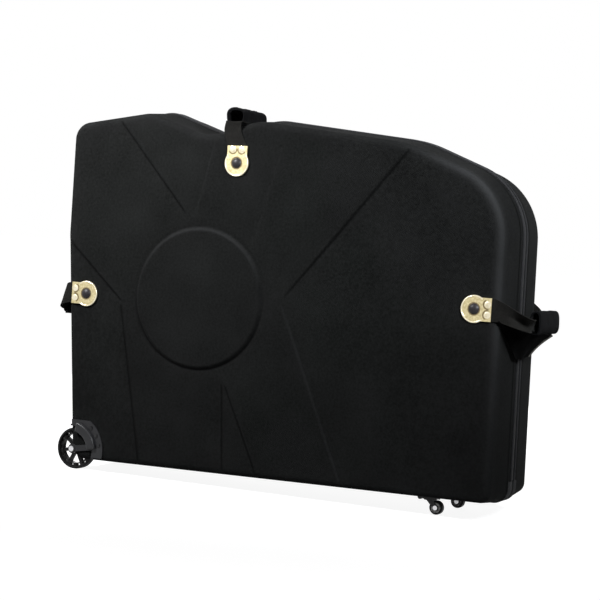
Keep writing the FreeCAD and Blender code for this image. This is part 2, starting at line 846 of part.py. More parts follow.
# Casters, front half
plate_under = (underside_at(caster_x - caster_plate_length / 2) + narrowed(caster_y - caster_plate_width / 2)
               - caster_plate_thickness)
plate_top = underside_at(caster_x + caster_plate_length / 2) + narrowed(caster_y + caster_plate_width / 2)
crown_top = plate_under - caster_boss_height - swivel_gap
crown_under = crown_top - crown_thickness


def caster_plate():
    plate = block(caster_x - caster_plate_length / 2, caster_x + caster_plate_length / 2,
                  -caster_y - caster_plate_width / 2, -caster_y + caster_plate_width / 2,
                  plate_under, plate_top)
    uprights = [edge for edge in plate.Edges if abs(edge.tangentAt(edge.FirstParameter).z) > 1 - tolerance]
    plate = plate.makeFillet(caster_plate_round, uprights)
    plate = plate.cut(tapered(0, half_depth))
    body = joined([plate, post(caster_boss_radius, plate_under - caster_boss_height, plate_under,
                               caster_x, -caster_y)])
    holes = [post(kingpin_radius, 0, plate_top + overrun, caster_x, -caster_y)]
    for x, y in caster_screw_places():
        holes.append(post(screw_radius, 0, plate_top + overrun, x, y))
    return body.cut(Part.makeCompound(holes))


def kingpin():
    head_top = crown_under - swivel_gap
    return joined([post(kingpin_radius, head_top, plate_under + caster_plate_thickness, caster_x, -caster_y),
                   post(kingpin_head_radius, head_top - kingpin_head_height, head_top, caster_x, -caster_y)])


def caster_fork():
    toe_x = caster_x + caster_trail
    toe_z = caster_wheel_radius
    leg_inner = caster_wheel_width / 2 + fork_leg_gap
    leg_outer = leg_inner + fork_leg_thickness
    crown = post(crown_radius, crown_under, crown_top, caster_x, -caster_y)
    pieces = [crown]
    for side in (-1, 1):
        start = -caster_y + side * leg_inner
        end = -caster_y + side * leg_outer
        points = [(caster_x - kingpin_head_radius, crown_top), (caster_x + crown_radius, crown_top),
                  (toe_x + fork_toe_radius, toe_z), (toe_x - fork_toe_radius, toe_z)]
        corners = [vec(x, start, z) for x, z in points]
        leg = Part.Face(Part.makePolygon(corners + corners[:1])).extrude(vec(0, end - start, 0))
        pieces.append(joined([leg, rod(fork_toe_radius, start, end, toe_x, toe_z)]))
    fork = joined(pieces)
    holes = [post(kingpin_radius + axle_play, 0, plate_top, caster_x, -caster_y),
             rod(caster_axle_radius, -case_depth, 0, toe_x, toe_z)]
    return fork.cut(Part.makeCompound(holes))


def caster_wheel():
    toe_x = caster_x + caster_trail
    half = caster_wheel_width / 2
    wheel = rod(caster_wheel_radius, -caster_y - half, -caster_y + half, toe_x, caster_wheel_radius)
    rims = edges_at_depth(wheel, -caster_y - half) + edges_at_depth(wheel, -caster_y + half)
    wheel = wheel.makeFillet(caster_wheel_round, rims)
    return wheel.cut(rod(caster_axle_radius + axle_play, -case_depth, 0, toe_x, caster_wheel_radius))


def caster_axle():
    toe_x = caster_x + caster_trail
    reach = caster_wheel_width / 2 + fork_leg_gap + fork_leg_thickness
    pieces = [rod(caster_axle_radius, -caster_y - reach, -caster_y + reach, toe_x, caster_wheel_radius)]
    for side in (-1, 1):
        seat = -caster_y + side * reach
        pieces.append(rod(caster_axle_head, seat, seat + side * caster_axle_head_height,
                          toe_x, caster_wheel_radius))
    return joined(pieces)


# Divider and tie-downs, lying on the rear shell's inner face
rear_inner = half_depth - shell_wall
divider_left = -half_length + divider_left_inset
divider_right = half_length - shell_wall - divider_margin - edge_radius
divider_low = right_foot_height + shell_wall + divider_margin
divider_high = divider_top_height


def divider():
    pad = block(divider_left, divider_right, rear_inner - washer_thickness - divider_thickness,
                rear_inner - washer_thickness, divider_low, divider_high)
    return pad


def tie_places():
    middle = (divider_left + divider_right) / 2
    return [middle + side * tie_spacing / 2 for side in (-1, 1)]


def tie_down(x):
    """One strap over the divider, stitched to the shell beyond both of its edges."""
    pad_face = rear_inner - washer_thickness - divider_thickness
    over = block(x - tie_width / 2, x + tie_width / 2, pad_face - tie_thickness, pad_face,
                 divider_low - tie_thickness, divider_high + tie_thickness)
    pieces = [over]
    for edge, way in ((divider_low, -1), (divider_high, 1)):
        turn_low = min(edge, edge + way * tie_thickness)
        pieces.append(block(x - tie_width / 2, x + tie_width / 2, pad_face, rear_inner,
                            turn_low, turn_low + tie_thickness))
        foot_low = min(edge, edge + way * tie_anchor_length)
        pieces.append(block(x - tie_width / 2, x + tie_width / 2, rear_inner - tie_thickness, rear_inner,
                            foot_low, foot_low + tie_anchor_length))
    return joined(pieces).cut(divider())


def tie_buckle(x):
    strap_face = rear_inner - washer_thickness - divider_thickness - tie_thickness
    middle = (divider_low + divider_high) / 2
    return block(x - buckle_width / 2, x + buckle_width / 2, strap_face - buckle_thickness, strap_face,
                 middle - buckle_length / 2, middle + buckle_length / 2)


# Pieces of the case
save_pair("shell", half_shell())
save_pair("rim_binding", rim_binding())
save_pair("zip_tape", zip_strip(0, -zip_tape_thickness, -zip_half, -zip_split / 2))
save_pair("zip_coil", zip_strip(coil_height, 0, -coil_width / 2, -zip_split / 2))
save_pair("hinge_leaf", hinge_leaf())
for name, height in (("lower", zip_end_height), ("upper", zip_end_height + slider_spacing)):
    save(name + "_zip_slider", zip_slider(height))
    save(name + "_zip_pull", zip_pull(height))

# Carry straps
save_pair("strap_plates", Part.makeCompound([strap_plate(strap) for strap in straps]))
save_pair("rivet_caps", Part.makeCompound([rivet_cap(strap) for strap in straps]))
save_pair("rivet_washers", Part.makeCompound([rivet_washer(strap) for strap in straps]))
save_pair("neck_rivets", Part.makeCompound([rivet for strap in straps for rivet in neck_rivets(strap)]))
for strap in straps:
    save("front_" + strap["name"] + "_webbing", webbing(strap, -1))
    save("rear_" + strap["name"] + "_webbing", webbing(strap, 1))
    save(strap["name"] + "_grip", grip(strap))

# Wheels, housings and casters
save_pair("wheel_tyre", wheel_tyre())
save_pair("wheel_core", wheel_core())
save_pair("wheel_bearings", Part.makeCompound(wheel_bearings()))
save_pair("axle_bolt", axle_bolt())
save_pair("axle_nut", axle_nut())
save_pair("wheel_housing", wheel_housing())
save_pair("screws", Part.makeCompound(screws()))
save_pair("caster_plate", caster_plate())
save_pair("caster_kingpin", kingpin())
save_pair("caster_fork", caster_fork())
save_pair("caster_wheel", caster_wheel())
save_pair("caster_axle", caster_axle())

# Inside
save("padded_divider", divider())
save("tie_down_straps", Part.makeCompound([tie_down(x) for x in tie_places()]))
save("tie_down_buckles", Part.makeCompound([tie_buckle(x) for x in tie_places()]))
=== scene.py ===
import math

import bmesh
import bpy
import numpy as np
from mathutils import Matrix, Vector
from mathutils.geometry import delaunay_2d_cdt

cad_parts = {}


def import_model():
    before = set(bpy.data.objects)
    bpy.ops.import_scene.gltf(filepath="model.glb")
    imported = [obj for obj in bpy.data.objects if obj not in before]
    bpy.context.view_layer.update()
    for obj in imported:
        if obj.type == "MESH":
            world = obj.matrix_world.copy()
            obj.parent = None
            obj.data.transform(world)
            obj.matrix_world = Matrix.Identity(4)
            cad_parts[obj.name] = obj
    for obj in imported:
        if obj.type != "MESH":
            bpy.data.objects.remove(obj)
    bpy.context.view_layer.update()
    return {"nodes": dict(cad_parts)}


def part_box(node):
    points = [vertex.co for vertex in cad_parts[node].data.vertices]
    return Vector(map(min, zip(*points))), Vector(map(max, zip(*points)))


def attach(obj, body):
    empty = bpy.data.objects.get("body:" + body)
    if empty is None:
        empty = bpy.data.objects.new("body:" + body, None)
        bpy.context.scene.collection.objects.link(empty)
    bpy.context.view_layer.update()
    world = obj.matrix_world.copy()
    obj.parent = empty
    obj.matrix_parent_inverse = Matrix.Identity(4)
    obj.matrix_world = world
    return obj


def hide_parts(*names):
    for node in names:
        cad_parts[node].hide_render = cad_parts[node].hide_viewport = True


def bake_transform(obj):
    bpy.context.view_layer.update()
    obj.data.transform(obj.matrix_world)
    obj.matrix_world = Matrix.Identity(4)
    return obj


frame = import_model()
nodes = frame["nodes"]
scene = bpy.context.scene
MM = 0.001
HALVES = (("front", -1), ("rear", 1))

# Sizes of the case in millimetres, drawn from the middle of the case itself
half_length, half_depth = 588.0, 136.0
shell_wall, edge_radius, draft = 7.0, 18.0, 9.0
zip_half, rim_land, seam_depth = 7.0, 30.0, 32.0
panel_depth = 3.0
panel_level = half_depth - panel_depth
# Corners of the outline: x, z and radius
outline_corners = [(-538, 20, 45), (-588, 595, 300), (-588, 882, 52), (-359, 920, 90), (-193, 864, 110),
                   (-65, 910, 150), (333, 872, 300), (588, 775, 178), (600, 40, 34)]
disc_centre = np.array([-191.0, 461.0])
disc_radius, disc_rise = 174.0, 5.0
hub_ring = 221.0
zip_end_height, hinge_end_height = 92.0, 90.0
axle = (-527.0, 52.5)
well_radius, well_floor = 62.5, 79.5
caster_axle = (444.0, 16.5)
caster_ring, caster_ring_half, caster_ring_edge = 9.4, 2.0, 2.4
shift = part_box("front_shell")[0].x / MM + half_length

# Carry straps, each in its own outward, depth and across directions
straps = {
    "right": {"edge": 592.64, "across": 491.0, "setback": 26.0, "standoff": 58.0, "drop": -20.0,
              "bulge": 26.0, "length": 135.0, "forward": 0.0, "level": panel_level, "skew": -20.0,
              "enter": (-4.0, -11.0), "chord": 30.0, "curl": (9.0, 40.0), "grip_half": (30.0, 17.0),
              "grip_moved": (2.0, -3.0), "grip_more": 10.0, "lap_turn": -2.4, "sway": 0.0},
    "top": {"edge": 894.55, "across": 108.0, "setback": 56.0, "standoff": 22.0, "drop": 20.0,
            "bulge": 0.0, "length": 102.0, "forward": 56.0, "level": half_depth, "skew": 2.0,
            "enter": (-20.0, -9.0), "chord": 42.0, "curl": (2.0, 2.0), "grip_half": (27.0, 24.0),
            "grip_moved": (-6.5, -4.0), "grip_more": 22.0, "lap_turn": 0.5, "sway": 10.0},
    "left": {"edge": 575.30, "across": -449.0, "setback": 20.0, "standoff": 38.0, "drop": 35.0,
             "bulge": 9.0, "length": 135.0, "forward": 0.0, "level": panel_level, "skew": 8.0,
             "enter": (-4.0, -4.0), "chord": 30.0, "curl": (-6.0, 4.0), "grip_half": (22.0, 15.5),
             "grip_moved": (-1.0, 2.0), "grip_more": 0.0, "lap_turn": -0.6, "sway": 0.0},
}
webbing_width, webbing_thickness = 52.0, 2.2
rear_curl = 3.0
plate_ring, plate_neck, plate_cap, plate_thickness = 32.0, 42.0, 13.0, 4.2
bead_radius, bead_opening = 1.1, math.radians(60)
bump_setback, bump_spacing, bump_radius = 9.0, 24.0, 10.5
bump_size, bump_rise = 8.0, 0.9
plate_gold, plate_tarnish = (0.74, 0.65, 0.40), (0.46, 0.38, 0.19)
# Colours of the plates' painted highlights and painted shade
plate_highlight, plate_shade = (0.92, 0.87, 0.72), (0.10, 0.065, 0.03)


# Mesh helpers
def row(points):
    """Case millimetres to row metres."""
    moved = np.array(points, float).reshape(-1, 3)
    moved[:, 0] += shift
    return moved * MM


def make_piece(name, points, faces, materials, body, slot, uv=None, indices=None, sharp=None, closed=True):
    mesh = bpy.data.meshes.new(name)
    mesh.from_pydata([tuple(p) for p in row(points)], [], faces)
    if indices is not None:
        mesh.polygons.foreach_set("material_index", indices)
    mesh.polygons.foreach_set("use_smooth", [True] * len(mesh.polygons))
    if uv is not None:
        layer = mesh.uv_layers.new(name="UVMap")
        corner = np.zeros(len(mesh.loops), int)
        mesh.loops.foreach_get("vertex_index", corner)
        layer.data.foreach_set("uv", (np.array(uv, float) * MM)[corner].ravel())
    for material in materials:
        mesh.materials.append(material)
    if closed:
        turned = bmesh.new()
        turned.from_mesh(mesh)
        bmesh.ops.recalc_face_normals(turned, faces=turned.faces)
        turned.to_mesh(mesh)
        turned.free()
    mesh.update()
    if sharp:
        mesh.set_sharp_from_angle(angle=math.radians(sharp))
    piece = bpy.data.objects.new(name, mesh)
    scene.collection.objects.link(piece)
    if body:
        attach(piece, body)
    return piece


def grid_faces(rows, columns, rings=False, start=0):
    """Quads of a grid of points stored row by row, where each row may be a ring."""
    faces = []
    for i in range(rows - 1):
        near = start + i * columns
        far = near + columns
        for j in range(columns if rings else columns - 1):
            k = (j + 1) % columns
            faces.append((near + j, near + k, far + k, far + j))
    return faces


def tube_faces(rows, columns, start=0):
    """Faces of a tube of points stored ring by ring, with its two ends."""
    last = start + (rows - 1) * columns
    ends = [tuple(range(start, start + columns))[::-1], tuple(range(last, last + columns))]
    return grid_faces(rows, columns, True, start) + ends


def skin_faces(rows, columns):
    """Faces of two grids of points joined round their border."""
    lower = rows * columns
    faces = grid_faces(rows, columns)
    faces += [tuple(lower + k for k in face[::-1]) for face in grid_faces(rows, columns)]
    border = list(range(columns)) + [i * columns + columns - 1 for i in range(1, rows)]
    border += [(rows - 1) * columns + j for j in range(columns - 2, -1, -1)]
    border += [i * columns for i in range(rows - 2, 0, -1)]
    return faces + [(b, a, lower + a, lower + b) for a, b in zip(border, border[1:] + border[:1])]


def two_skins(middle, half_thickness):
    """Points and faces of a sheet with a thickness on both sides of its middle grid."""
    normal = unit(np.cross(np.gradient(middle, axis=0), np.gradient(middle, axis=1)))
    points = np.vstack([(middle + normal * half_thickness * k).reshape(-1, 3) for k in (1, -1)])
    return points, skin_faces(*middle.shape[:2])


def smoothstep(low, high, value):
    t = np.clip((np.asarray(value, float) - low) / (high - low), 0, 1)
    return t * t * (3 - 2 * t)


def unit(vectors):
    return vectors / np.linalg.norm(vectors, axis=-1, keepdims=True)


def turns(count):
    """Evenly spaced angles of a full turn."""
    return [2 * math.pi * k / count for k in range(count)]


def lengths_along(line):
    """Distance travelled at each point of a line."""
    return np.concatenate([[0], np.cumsum(np.linalg.norm(np.diff(line, axis=0), axis=1))])


def spread(line, count, *carried):
    """A line of points as a set number of evenly spaced ones, the values carried along it, and its length."""
    length = lengths_along(line)
    at = np.linspace(0, length[-1], count)
    even = [np.column_stack([np.interp(at, length, column) for column in values.T])
            for values in (line, *carried)]
    return (*even, length[-1])


def chaikin(points, rounds=3):
    """Rounds the corners of an open line of points, keeping its ends."""
    for _ in range(rounds):
        cut = [points[0]]
        for a, b in zip(points[:-1], points[1:]):
            cut += [0.75 * a + 0.25 * b, 0.25 * a + 0.75 * b]
        points = np.array(cut + [points[-1]])
    return points


def case_outline(step=5.0, arc_step=math.radians(4)):
    """Points and outward normals of the case outline, in the x and z directions."""
    corners = [np.array(c[:2], float) for c in outline_corners]
    arcs = []
    for k, corner in enumerate(corners):
        back, ahead = unit(corners[k - 1] - corner), unit(corners[(k + 1) % len(corners)] - corner)
        half = math.acos(float(np.clip(back @ ahead, -1, 1))) / 2
        radius = outline_corners[k][2]
        centre = corner + unit(back + ahead) * radius / math.sin(half)
        bend = -1 if (back[0] * ahead[1] - back[1] * ahead[0]) < 0 else 1
        enter, leave = (corner + way * radius / math.tan(half) for way in (back, ahead))
        arcs.append((centre, enter, leave, radius, bend))
    points, normals = [], []
    for k, (centre, enter, leave, radius, bend) in enumerate(arcs):
        first, last = (math.atan2(*(end - centre)[::-1]) for end in (enter, leave))
        sweep = (last - first + math.pi) % (2 * math.pi) - math.pi
        count = max(2, int(abs(sweep) / arc_step), int(abs(sweep) * radius / step))
        for i in range(count + 1):
            turn = first + sweep * i / count
            direction = np.array([math.cos(turn), math.sin(turn)])
            points.append(centre + radius * direction)
            normals.append(bend * direction)
        run = arcs[(k + 1) % len(arcs)][1] - leave
        pieces = max(1, int(np.linalg.norm(run) / step))
        along = unit(run)
        for i in range(1, pieces):
            points.append(leave + run * i / pieces)
            normals.append(np.array([-along[1], along[0]]))
    return np.array(points), np.array(normals)


outline_points, outline_normals = case_outline()


def outline_part(above, height):
    """The stretch of the outline above or below a height, in order, with both cut ends."""
    keep = outline_points[:, 1] >= height if above else outline_points[:, 1] <= height
    count = len(keep)
    i = next(i for i in range(count) if keep[i] and not keep[i - 1])
    order = []
    while keep[i % count]:
        order.append(i % count)
        i += 1
    ends = []
    for near, far in ((order[0], order[0] - 1), (order[-1], (order[-1] + 1) % count)):
        a, b = outline_points[near], outline_points[far]
        ends.append(a + (height - a[1]) / (b[1] - a[1]) * (b - a))
    normals = outline_normals[order]
    return (np.vstack([ends[0], outline_points[order], ends[1]]),
            np.vstack([normals[0], normals, normals[-1]]))


def resample(points, normals, spacing):
    """Evenly spaced points along an outline path, with their normals."""
    count = max(2, int(round(lengths_along(points)[-1] / spacing)) + 1)
    even, turned, _ = spread(points, count, normals)
    return even, unit(turned)


def swept(path, normals, profile, side):
    """A closed profile of (offset, depth) pairs carried along an outline path, with flat ends."""
    rows, columns = len(path), len(profile)
    points = np.zeros((rows, columns, 3))
    for j, (offset, depth) in enumerate(profile):
        points[:, j, ::2] = path + normals * offset
        points[:, j, 1] = side * depth
    faces = tube_faces(rows, columns)
    if side > 0:
        faces = [face[::-1] for face in faces]
    uv = [(s, a) for s in lengths_along(path) for a in lengths_along(np.array(profile))]
    return points.reshape(-1, 3), faces, uv


def boxes_along(path, normals, length, height, width, offset, depth, side):
    """A row of small rounded bars set along an outline path: stitches or zip teeth."""
    points, faces = [], []
    ring = [(-1, -0.7), (-0.7, -1), (0.7, -1), (1, -0.7), (1, 0.7), (0.7, 1), (-0.7, 1), (-1, 0.7)]
    levels = ((0.0, 1.0), (0.7, 1.0), (1.0, 0.65))
    for p, n in zip(path, normals):
        tangent = np.array([n[1], -n[0]])
        base = len(points)
        for level, shrink in levels:
            for a, b in ring:
                flat = p + tangent * (a * length / 2 * shrink) + n * (offset + level * height)
                points.append((flat[0], side * (depth + b * width / 2 * shrink), flat[1]))
        top = base + (len(levels) - 1) * len(ring)
        faces += grid_faces(len(levels), len(ring), True, base) + [tuple(range(top, top + len(ring)))]
    return points, [face[::-1] for face in faces] if side < 0 else faces


def strap_place(name, outward, depth, across):
    """A strap's own directions as x, y and z."""
    if name == "right":
        return (outward, depth, across)
    if name == "top":
        return (-across, depth, outward)
    return (-outward, depth, -across)


# Materials
class Field:
    """A shader value that can be added and multiplied like a number."""

    def __init__(self, socket):
        self.socket = socket

    def math(self, operation, other=None):
        node = self.socket.id_data.nodes.new("ShaderNodeMath")
        node.operation = operation
        feed(self, node.inputs[0])
        if other is not None:
            feed(other, node.inputs[1])
        return Field(node.outputs[0])

    def __add__(self, other):
        return self.math("ADD", other)

    def __sub__(self, other):
        return self.math("SUBTRACT", other)

    def __mul__(self, other):
        return self.math("MULTIPLY", other)

    def __abs__(self):
        return self.math("ABSOLUTE")


def feed(value, socket):
    """Links a shader value to a socket, or sets the socket to a constant."""
    if isinstance(value, Field):
        socket.id_data.links.new(value.socket, socket)
    else:
        socket.default_value = value


def add_node(tree, kind, inputs=None, **settings):
    node = tree.nodes.new(kind)
    for key, value in settings.items():
        setattr(node, key, value)
    for key, value in (inputs or {}).items():
        feed(value, node.inputs[key])
    return node


def new_material(name, base, rough, metallic=0.0, specular=0.5, sheen=0.0):
    material = bpy.data.materials.new(name)
    material.use_nodes = True
    tree = material.node_tree
    tree.nodes.clear()
    shader = add_node(tree, "ShaderNodeBsdfPrincipled", {
        "Base Color": (*base, 1), "Roughness": rough, "Metallic": metallic, "Specular IOR Level": specular,
        "Sheen Weight": sheen, "Sheen Roughness": 0.45})
    add_node(tree, "ShaderNodeOutputMaterial", {"Surface": Field(shader.outputs["BSDF"])})
    return material, tree, shader


def coordinates(tree, space):
    return Field(add_node(tree, "ShaderNodeTexCoord").outputs[space])


def separate(tree, vector):
    """The X, Y and Z of a shader vector."""
    node = add_node(tree, "ShaderNodeSeparateXYZ", {0: vector})
    return {axis: Field(node.outputs[axis]) for axis in "XYZ"}


def noise(tree, vector, scale, detail=3.0, rough=0.55):
    node = add_node(tree, "ShaderNodeTexNoise",
                    {"Vector": vector, "Scale": scale, "Detail": detail, "Roughness": rough})
    return Field(node.outputs["Fac"])


def map_range(tree, value, low, high, to_low, to_high, shape="SMOOTHSTEP"):
    numbers = {"Value": value, "From Min": low, "From Max": high, "To Min": to_low, "To Max": to_high}
    return Field(add_node(tree, "ShaderNodeMapRange", numbers, interpolation_type=shape).outputs["Result"])


def two_tone(tree, factor, dark, light):
    """Colour between two values, led by a factor around one half."""
    ramp = add_node(tree, "ShaderNodeValToRGB", {"Fac": factor})
    for element, position, colour in zip(ramp.color_ramp.elements, (0.3, 0.7), (dark, light)):
        element.position = position
        element.color = (*colour, 1)
    return Field(ramp.outputs["Color"])


def mixed(tree, factor, under, over, **settings):
    """One colour over another."""
    node = add_node(tree, "ShaderNodeMix", {0: factor, 6: under, 7: over}, data_type="RGBA", **settings)
    return Field(node.outputs[2])


def dress(shader, colour, grain, rough, height, bump):
    """Gives a shader its colour, a roughness that follows a grain, and a bump."""
    tree = shader.id_data
    feed(colour, shader.inputs["Base Color"])
    feed(map_range(tree, grain, 0, 1, *rough, "LINEAR"), shader.inputs["Roughness"])
    node = add_node(tree, "ShaderNodeBump", {"Height": height, "Distance": bump, "Strength": 1.0})
    feed(Field(node.outputs["Normal"]), shader.inputs["Normal"])


def cloth(name, dark, light, period, bump, axes="XZ", rough=0.85, sheen=0.03, specular=0.015, highlight_paint=None):
    """Plain woven cloth: crossed rows of yarn, and where asked for, a painted highlight and painted shade
    placed as its mesh says.
    """
    material, tree, shader = new_material(name, light, rough, specular=specular, sheen=sheen)
    vector = coordinates(tree, "Object")
    grain = noise(tree, vector, 170.0, 4.0, 0.6)
    patches = noise(tree, vector, 7.0, 2.0)
    colour = two_tone(tree, grain * 0.65 + patches * 0.35, dark, light)
    if highlight_paint:
        painted_highlight, painted_shade = (Field(add_node(tree, "ShaderNodeAttribute", attribute_name=light_paint).outputs["Fac"])
                      for light_paint in ("painted_highlight", "painted_shade"))
        # Painted highlight in a pale colour, then painted shade in a near black, where the mesh asks for them
        colour = mixed(tree, painted_highlight * (patches + 0.45), colour, (*highlight_paint, 1))
        colour = mixed(tree, painted_shade, colour, (*(channel * 0.2 for channel in dark), 1))
    place = separate(tree, vector)
    warp, weft = ((place[axis] * (2 * math.pi / period)).math("SINE") for axis in axes)
    fuzz = noise(tree, vector, 900.0, 2.0)
    dress(shader, colour, grain, (rough - 0.08, rough + 0.08), warp * weft + fuzz * 0.8, bump)
    return material


def plastic(name, dark, light, rough, grain=600.0, bump=0.00005, specular=0.2):
    material, tree, shader = new_material(name, light, rough, specular=specular)
    vector = coordinates(tree, "Object")
    colour = two_tone(tree, noise(tree, vector, 24.0, 4.0), dark, light)
    fine = noise(tree, vector, grain, 3.0)
    dress(shader, colour, fine, (rough - 0.06, rough + 0.1), fine, bump)
    return material


def metal(name, dark, light, rough):
    material, tree, shader = new_material(name, light, rough, metallic=1.0)
    vector = coordinates(tree, "Object")
    colour = two_tone(tree, noise(tree, vector, 60.0, 5.0, 0.65), dark, light)
    fine = noise(tree, vector, 500.0, 4.0)
    dress(shader, colour, fine, (rough - 0.08, rough + 0.12), fine, 0.00002)
    return material


def ribbed(name, dark, light, rib, bump, rough=0.8, sheen=0.05, specular=0.03):
    """Woven tape or webbing on its own length and width."""
    material, tree, shader = new_material(name, light, rough, specular=specular, sheen=sheen)
    place = separate(tree, coordinates(tree, "UV"))
    along = place["X"] * (2 * math.pi / rib)
    across = place["Y"] * (2 * math.pi / (rib * 1.6))
    chevron = abs((across * 0.25).math("SINE"))
    yarns = (along + chevron * 3.0).math("SINE") * across.math("SINE")
    grain = noise(tree, coordinates(tree, "Object"), 220.0, 4.0)
    colour = two_tone(tree, grain * 0.7 + (yarns + 1.0) * 0.15, dark, light)
    dress(shader, colour, grain, (rough - 0.1, rough + 0.1), yarns, bump)
    return material


def grey(level):
    return (level, level, level)


# The shell cloth's pale colour is a painted highlight and its near black a painted shade, both placed by the
# mesh
shell_cloth = cloth("shell_fabric_cloth", (0.0038, 0.0039, 0.0038), (0.0108, 0.0111, 0.0109), 0.0012, 0.00014,
                    sheen=0.008, specular=0.004, rough=0.7, highlight_paint=(0.026, 0.0265, 0.027))
lining_cloth = cloth("lining_cloth", (0.014, 0.014, 0.015), (0.024, 0.024, 0.026), 0.002, 0.0002)
binding_tape = ribbed("binding_tape", (0.010, 0.010, 0.0105), (0.020, 0.020, 0.021), 0.0014, 0.0002)
zip_cloth = ribbed("zip_tape_cloth", (0.006, 0.006, 0.0062), (0.012, 0.012, 0.0125), 0.001, 0.00015)
hinge_cloth = ribbed("hinge_cloth", (0.007, 0.007, 0.0075), (0.014, 0.014, 0.0145), 0.0016, 0.0002)
strap_webbing = ribbed("strap_webbing", (0.0062, 0.0060, 0.0055), (0.0135, 0.0130, 0.0118), 0.0022, 0.0004,
                       0.72, sheen=0.02, specular=0.015)
tie_webbing = ribbed("tie_webbing_weave", grey(0.010), grey(0.022), 0.0018, 0.0003)
grip_cloth = cloth("grip_wrap_cloth", (0.0022, 0.0022, 0.0024), (0.0062, 0.0062, 0.0066), 0.0016, 0.0003,
                   axes="YZ", rough=0.9, sheen=0.012, specular=0.006)
# The flap's cloth is the grip cloth made darker: painted shade
flap_shade_cloth = cloth("flap_painted_shade_cloth", grey(0.0015), grey(0.0035), 0.0016, 0.0003, sheen=0.004, specular=0.003)
# A pale binding on the flap's rear edge, its paleness partly a painted highlight for the lit edge
flap_edge_highlight = cloth("flap_edge_highlight_cloth", (0.065, 0.062, 0.054), (0.13, 0.125, 0.11), 0.0014, 0.0002)
pad_cloth = cloth("divider_pad_cloth", (0.012, 0.012, 0.013), (0.022, 0.022, 0.024), 0.0018, 0.0002)
thread = plastic("stitch_thread", grey(0.012), grey(0.026), 0.6, 1500.0)
tooth_plastic = plastic("zip_tooth_plastic", grey(0.006), grey(0.013), 0.38)
pull_plastic = plastic("zip_pull_plastic", grey(0.005), grey(0.011), 0.5)
cap_paint = plastic("cap_paint", (0.009, 0.008, 0.009), (0.018, 0.016, 0.018), 0.40, 900.0, 0.00002, 0.18)
housing_plastic = plastic("housing_plastic", (0.011, 0.011, 0.012), (0.019, 0.019, 0.020), 0.30, 1200.0)
wheel_plastic = plastic("wheel_core_plastic", grey(0.004), grey(0.009), 0.4, 700.0, specular=0.12)
tyre_rubber = plastic("tyre_rubber", grey(0.006), grey(0.013), 0.68, 400.0, 0.0001, 0.08)
buckle_plastic = plastic("tie_buckle_plastic", grey(0.008), grey(0.016), 0.4)
caster_paint = plastic("caster_black_paint", grey(0.006), grey(0.012), 0.32, 900.0)
rivet_brass = metal("rivet_brass", (0.62, 0.54, 0.35), (0.90, 0.84, 0.68), 0.28)
slider_metal = metal("slider_dark_metal", (0.05, 0.05, 0.055), (0.11, 0.11, 0.115), 0.35)
steel = metal("fastener_steel", (0.42, 0.42, 0.43), (0.66, 0.66, 0.67), 0.28)
screw_black = metal("screw_black_oxide", (0.02, 0.02, 0.021), (0.045, 0.045, 0.046), 0.34)


def caster_wheel_material():
    """A pale ring in a dark wheel, told apart by the distance from the axle."""
    material, tree, shader = new_material("caster_wheel_two_tone", (0.02, 0.02, 0.02), 0.5, specular=0.1)
    vector = coordinates(tree, "Object")
    place = separate(tree, vector)
    dx = place["X"] - (caster_axle[0] + shift) * MM
    dz = place["Z"] - caster_axle[1] * MM
    radius = (dx * dx + dz * dz).math("SQRT") * (1 / MM)
    tread = map_range(tree, abs(radius - caster_ring), caster_ring_half, caster_ring_edge, 0, 1)
    colour = mixed(tree, tread, (0.86, 0.84, 0.80, 1), (0.006, 0.006, 0.006, 1))
    dirt = noise(tree, vector, 300.0, 4.0)
    colour = mixed(tree, 0.3, colour, dirt, blend_type="MULTIPLY")
    dress(shader, colour, dirt, (0.35, 0.6), dirt, 0.00005)
    return material


def plate_brass_material():
    """Tarnished brass, with painted highlights on the rim and the neck bumps, and painted shade round the
    bumps and under the cap.
    """
    material, tree, shader = new_material("plate_brass", plate_gold, 0.3, metallic=1.0)
    vector = coordinates(tree, "Object")
    flat = add_node(tree, "ShaderNodeVectorMath", {0: vector, 1: (1, 0, 1)}, operation="MULTIPLY")

    def distance_from(name, outward, across):
        place = Vector(row([strap_place(name, outward, 0.0, across)])[0])
        node = add_node(tree, "ShaderNodeVectorMath", {0: Field(flat.outputs[0]), 1: place},
                        operation="DISTANCE")
        return Field(node.outputs["Value"])

    def below(value, full, none):
        return map_range(tree, value, full * MM, none * MM, 1, 0)

    def band(value, radius, half_width):
        return below(abs(value - radius * MM), half_width * 0.4, half_width)

    # Painted highlights on the rim bead and the neck bumps; painted shade round the bumps and under the cap
    highlight_marks, dark = [], []
    for name, strap in straps.items():
        end, across = strap["edge"] - strap["setback"], strap["across"]
        from_ring = distance_from(name, end - plate_neck, across)
        # The rim is open towards the neck: far enough from a place beyond the plate's end
        open_rim = below(distance_from(name, end - plate_neck + 100, across) * -1.0, -86.0, -82.0)
        highlight_marks.append(band(from_ring, plate_ring - 0.8, 3.0) * open_rim)
        dark.append(band(from_ring, plate_cap + 1.0, 2.2))
        near = below(from_ring, 33.0, 39.0)
        for offset in (-bump_spacing / 2, bump_spacing / 2):
            from_bump = distance_from(name, end - bump_setback, across + offset)
            highlight_marks.append(below(from_bump, 6.0, 9.5))
            dark.append(band(from_bump, bump_radius, 2.4) * near)
    tarnish = noise(tree, vector, 190.0, 4.0, 0.65)
    colour = two_tone(tree, tarnish, plate_tarnish, plate_gold)
    for marks, mark_colour, strength in ((highlight_marks, plate_highlight, 0.55), (dark, plate_shade, 0.8)):
        strongest = marks[0]
        for mark in marks[1:]:
            strongest = strongest.math("MAXIMUM", mark)
        colour = mixed(tree, strongest * strength, colour, (*mark_colour, 1))
    dress(shader, colour, tarnish, (0.24, 0.42), tarnish, 0.0002)
    return material


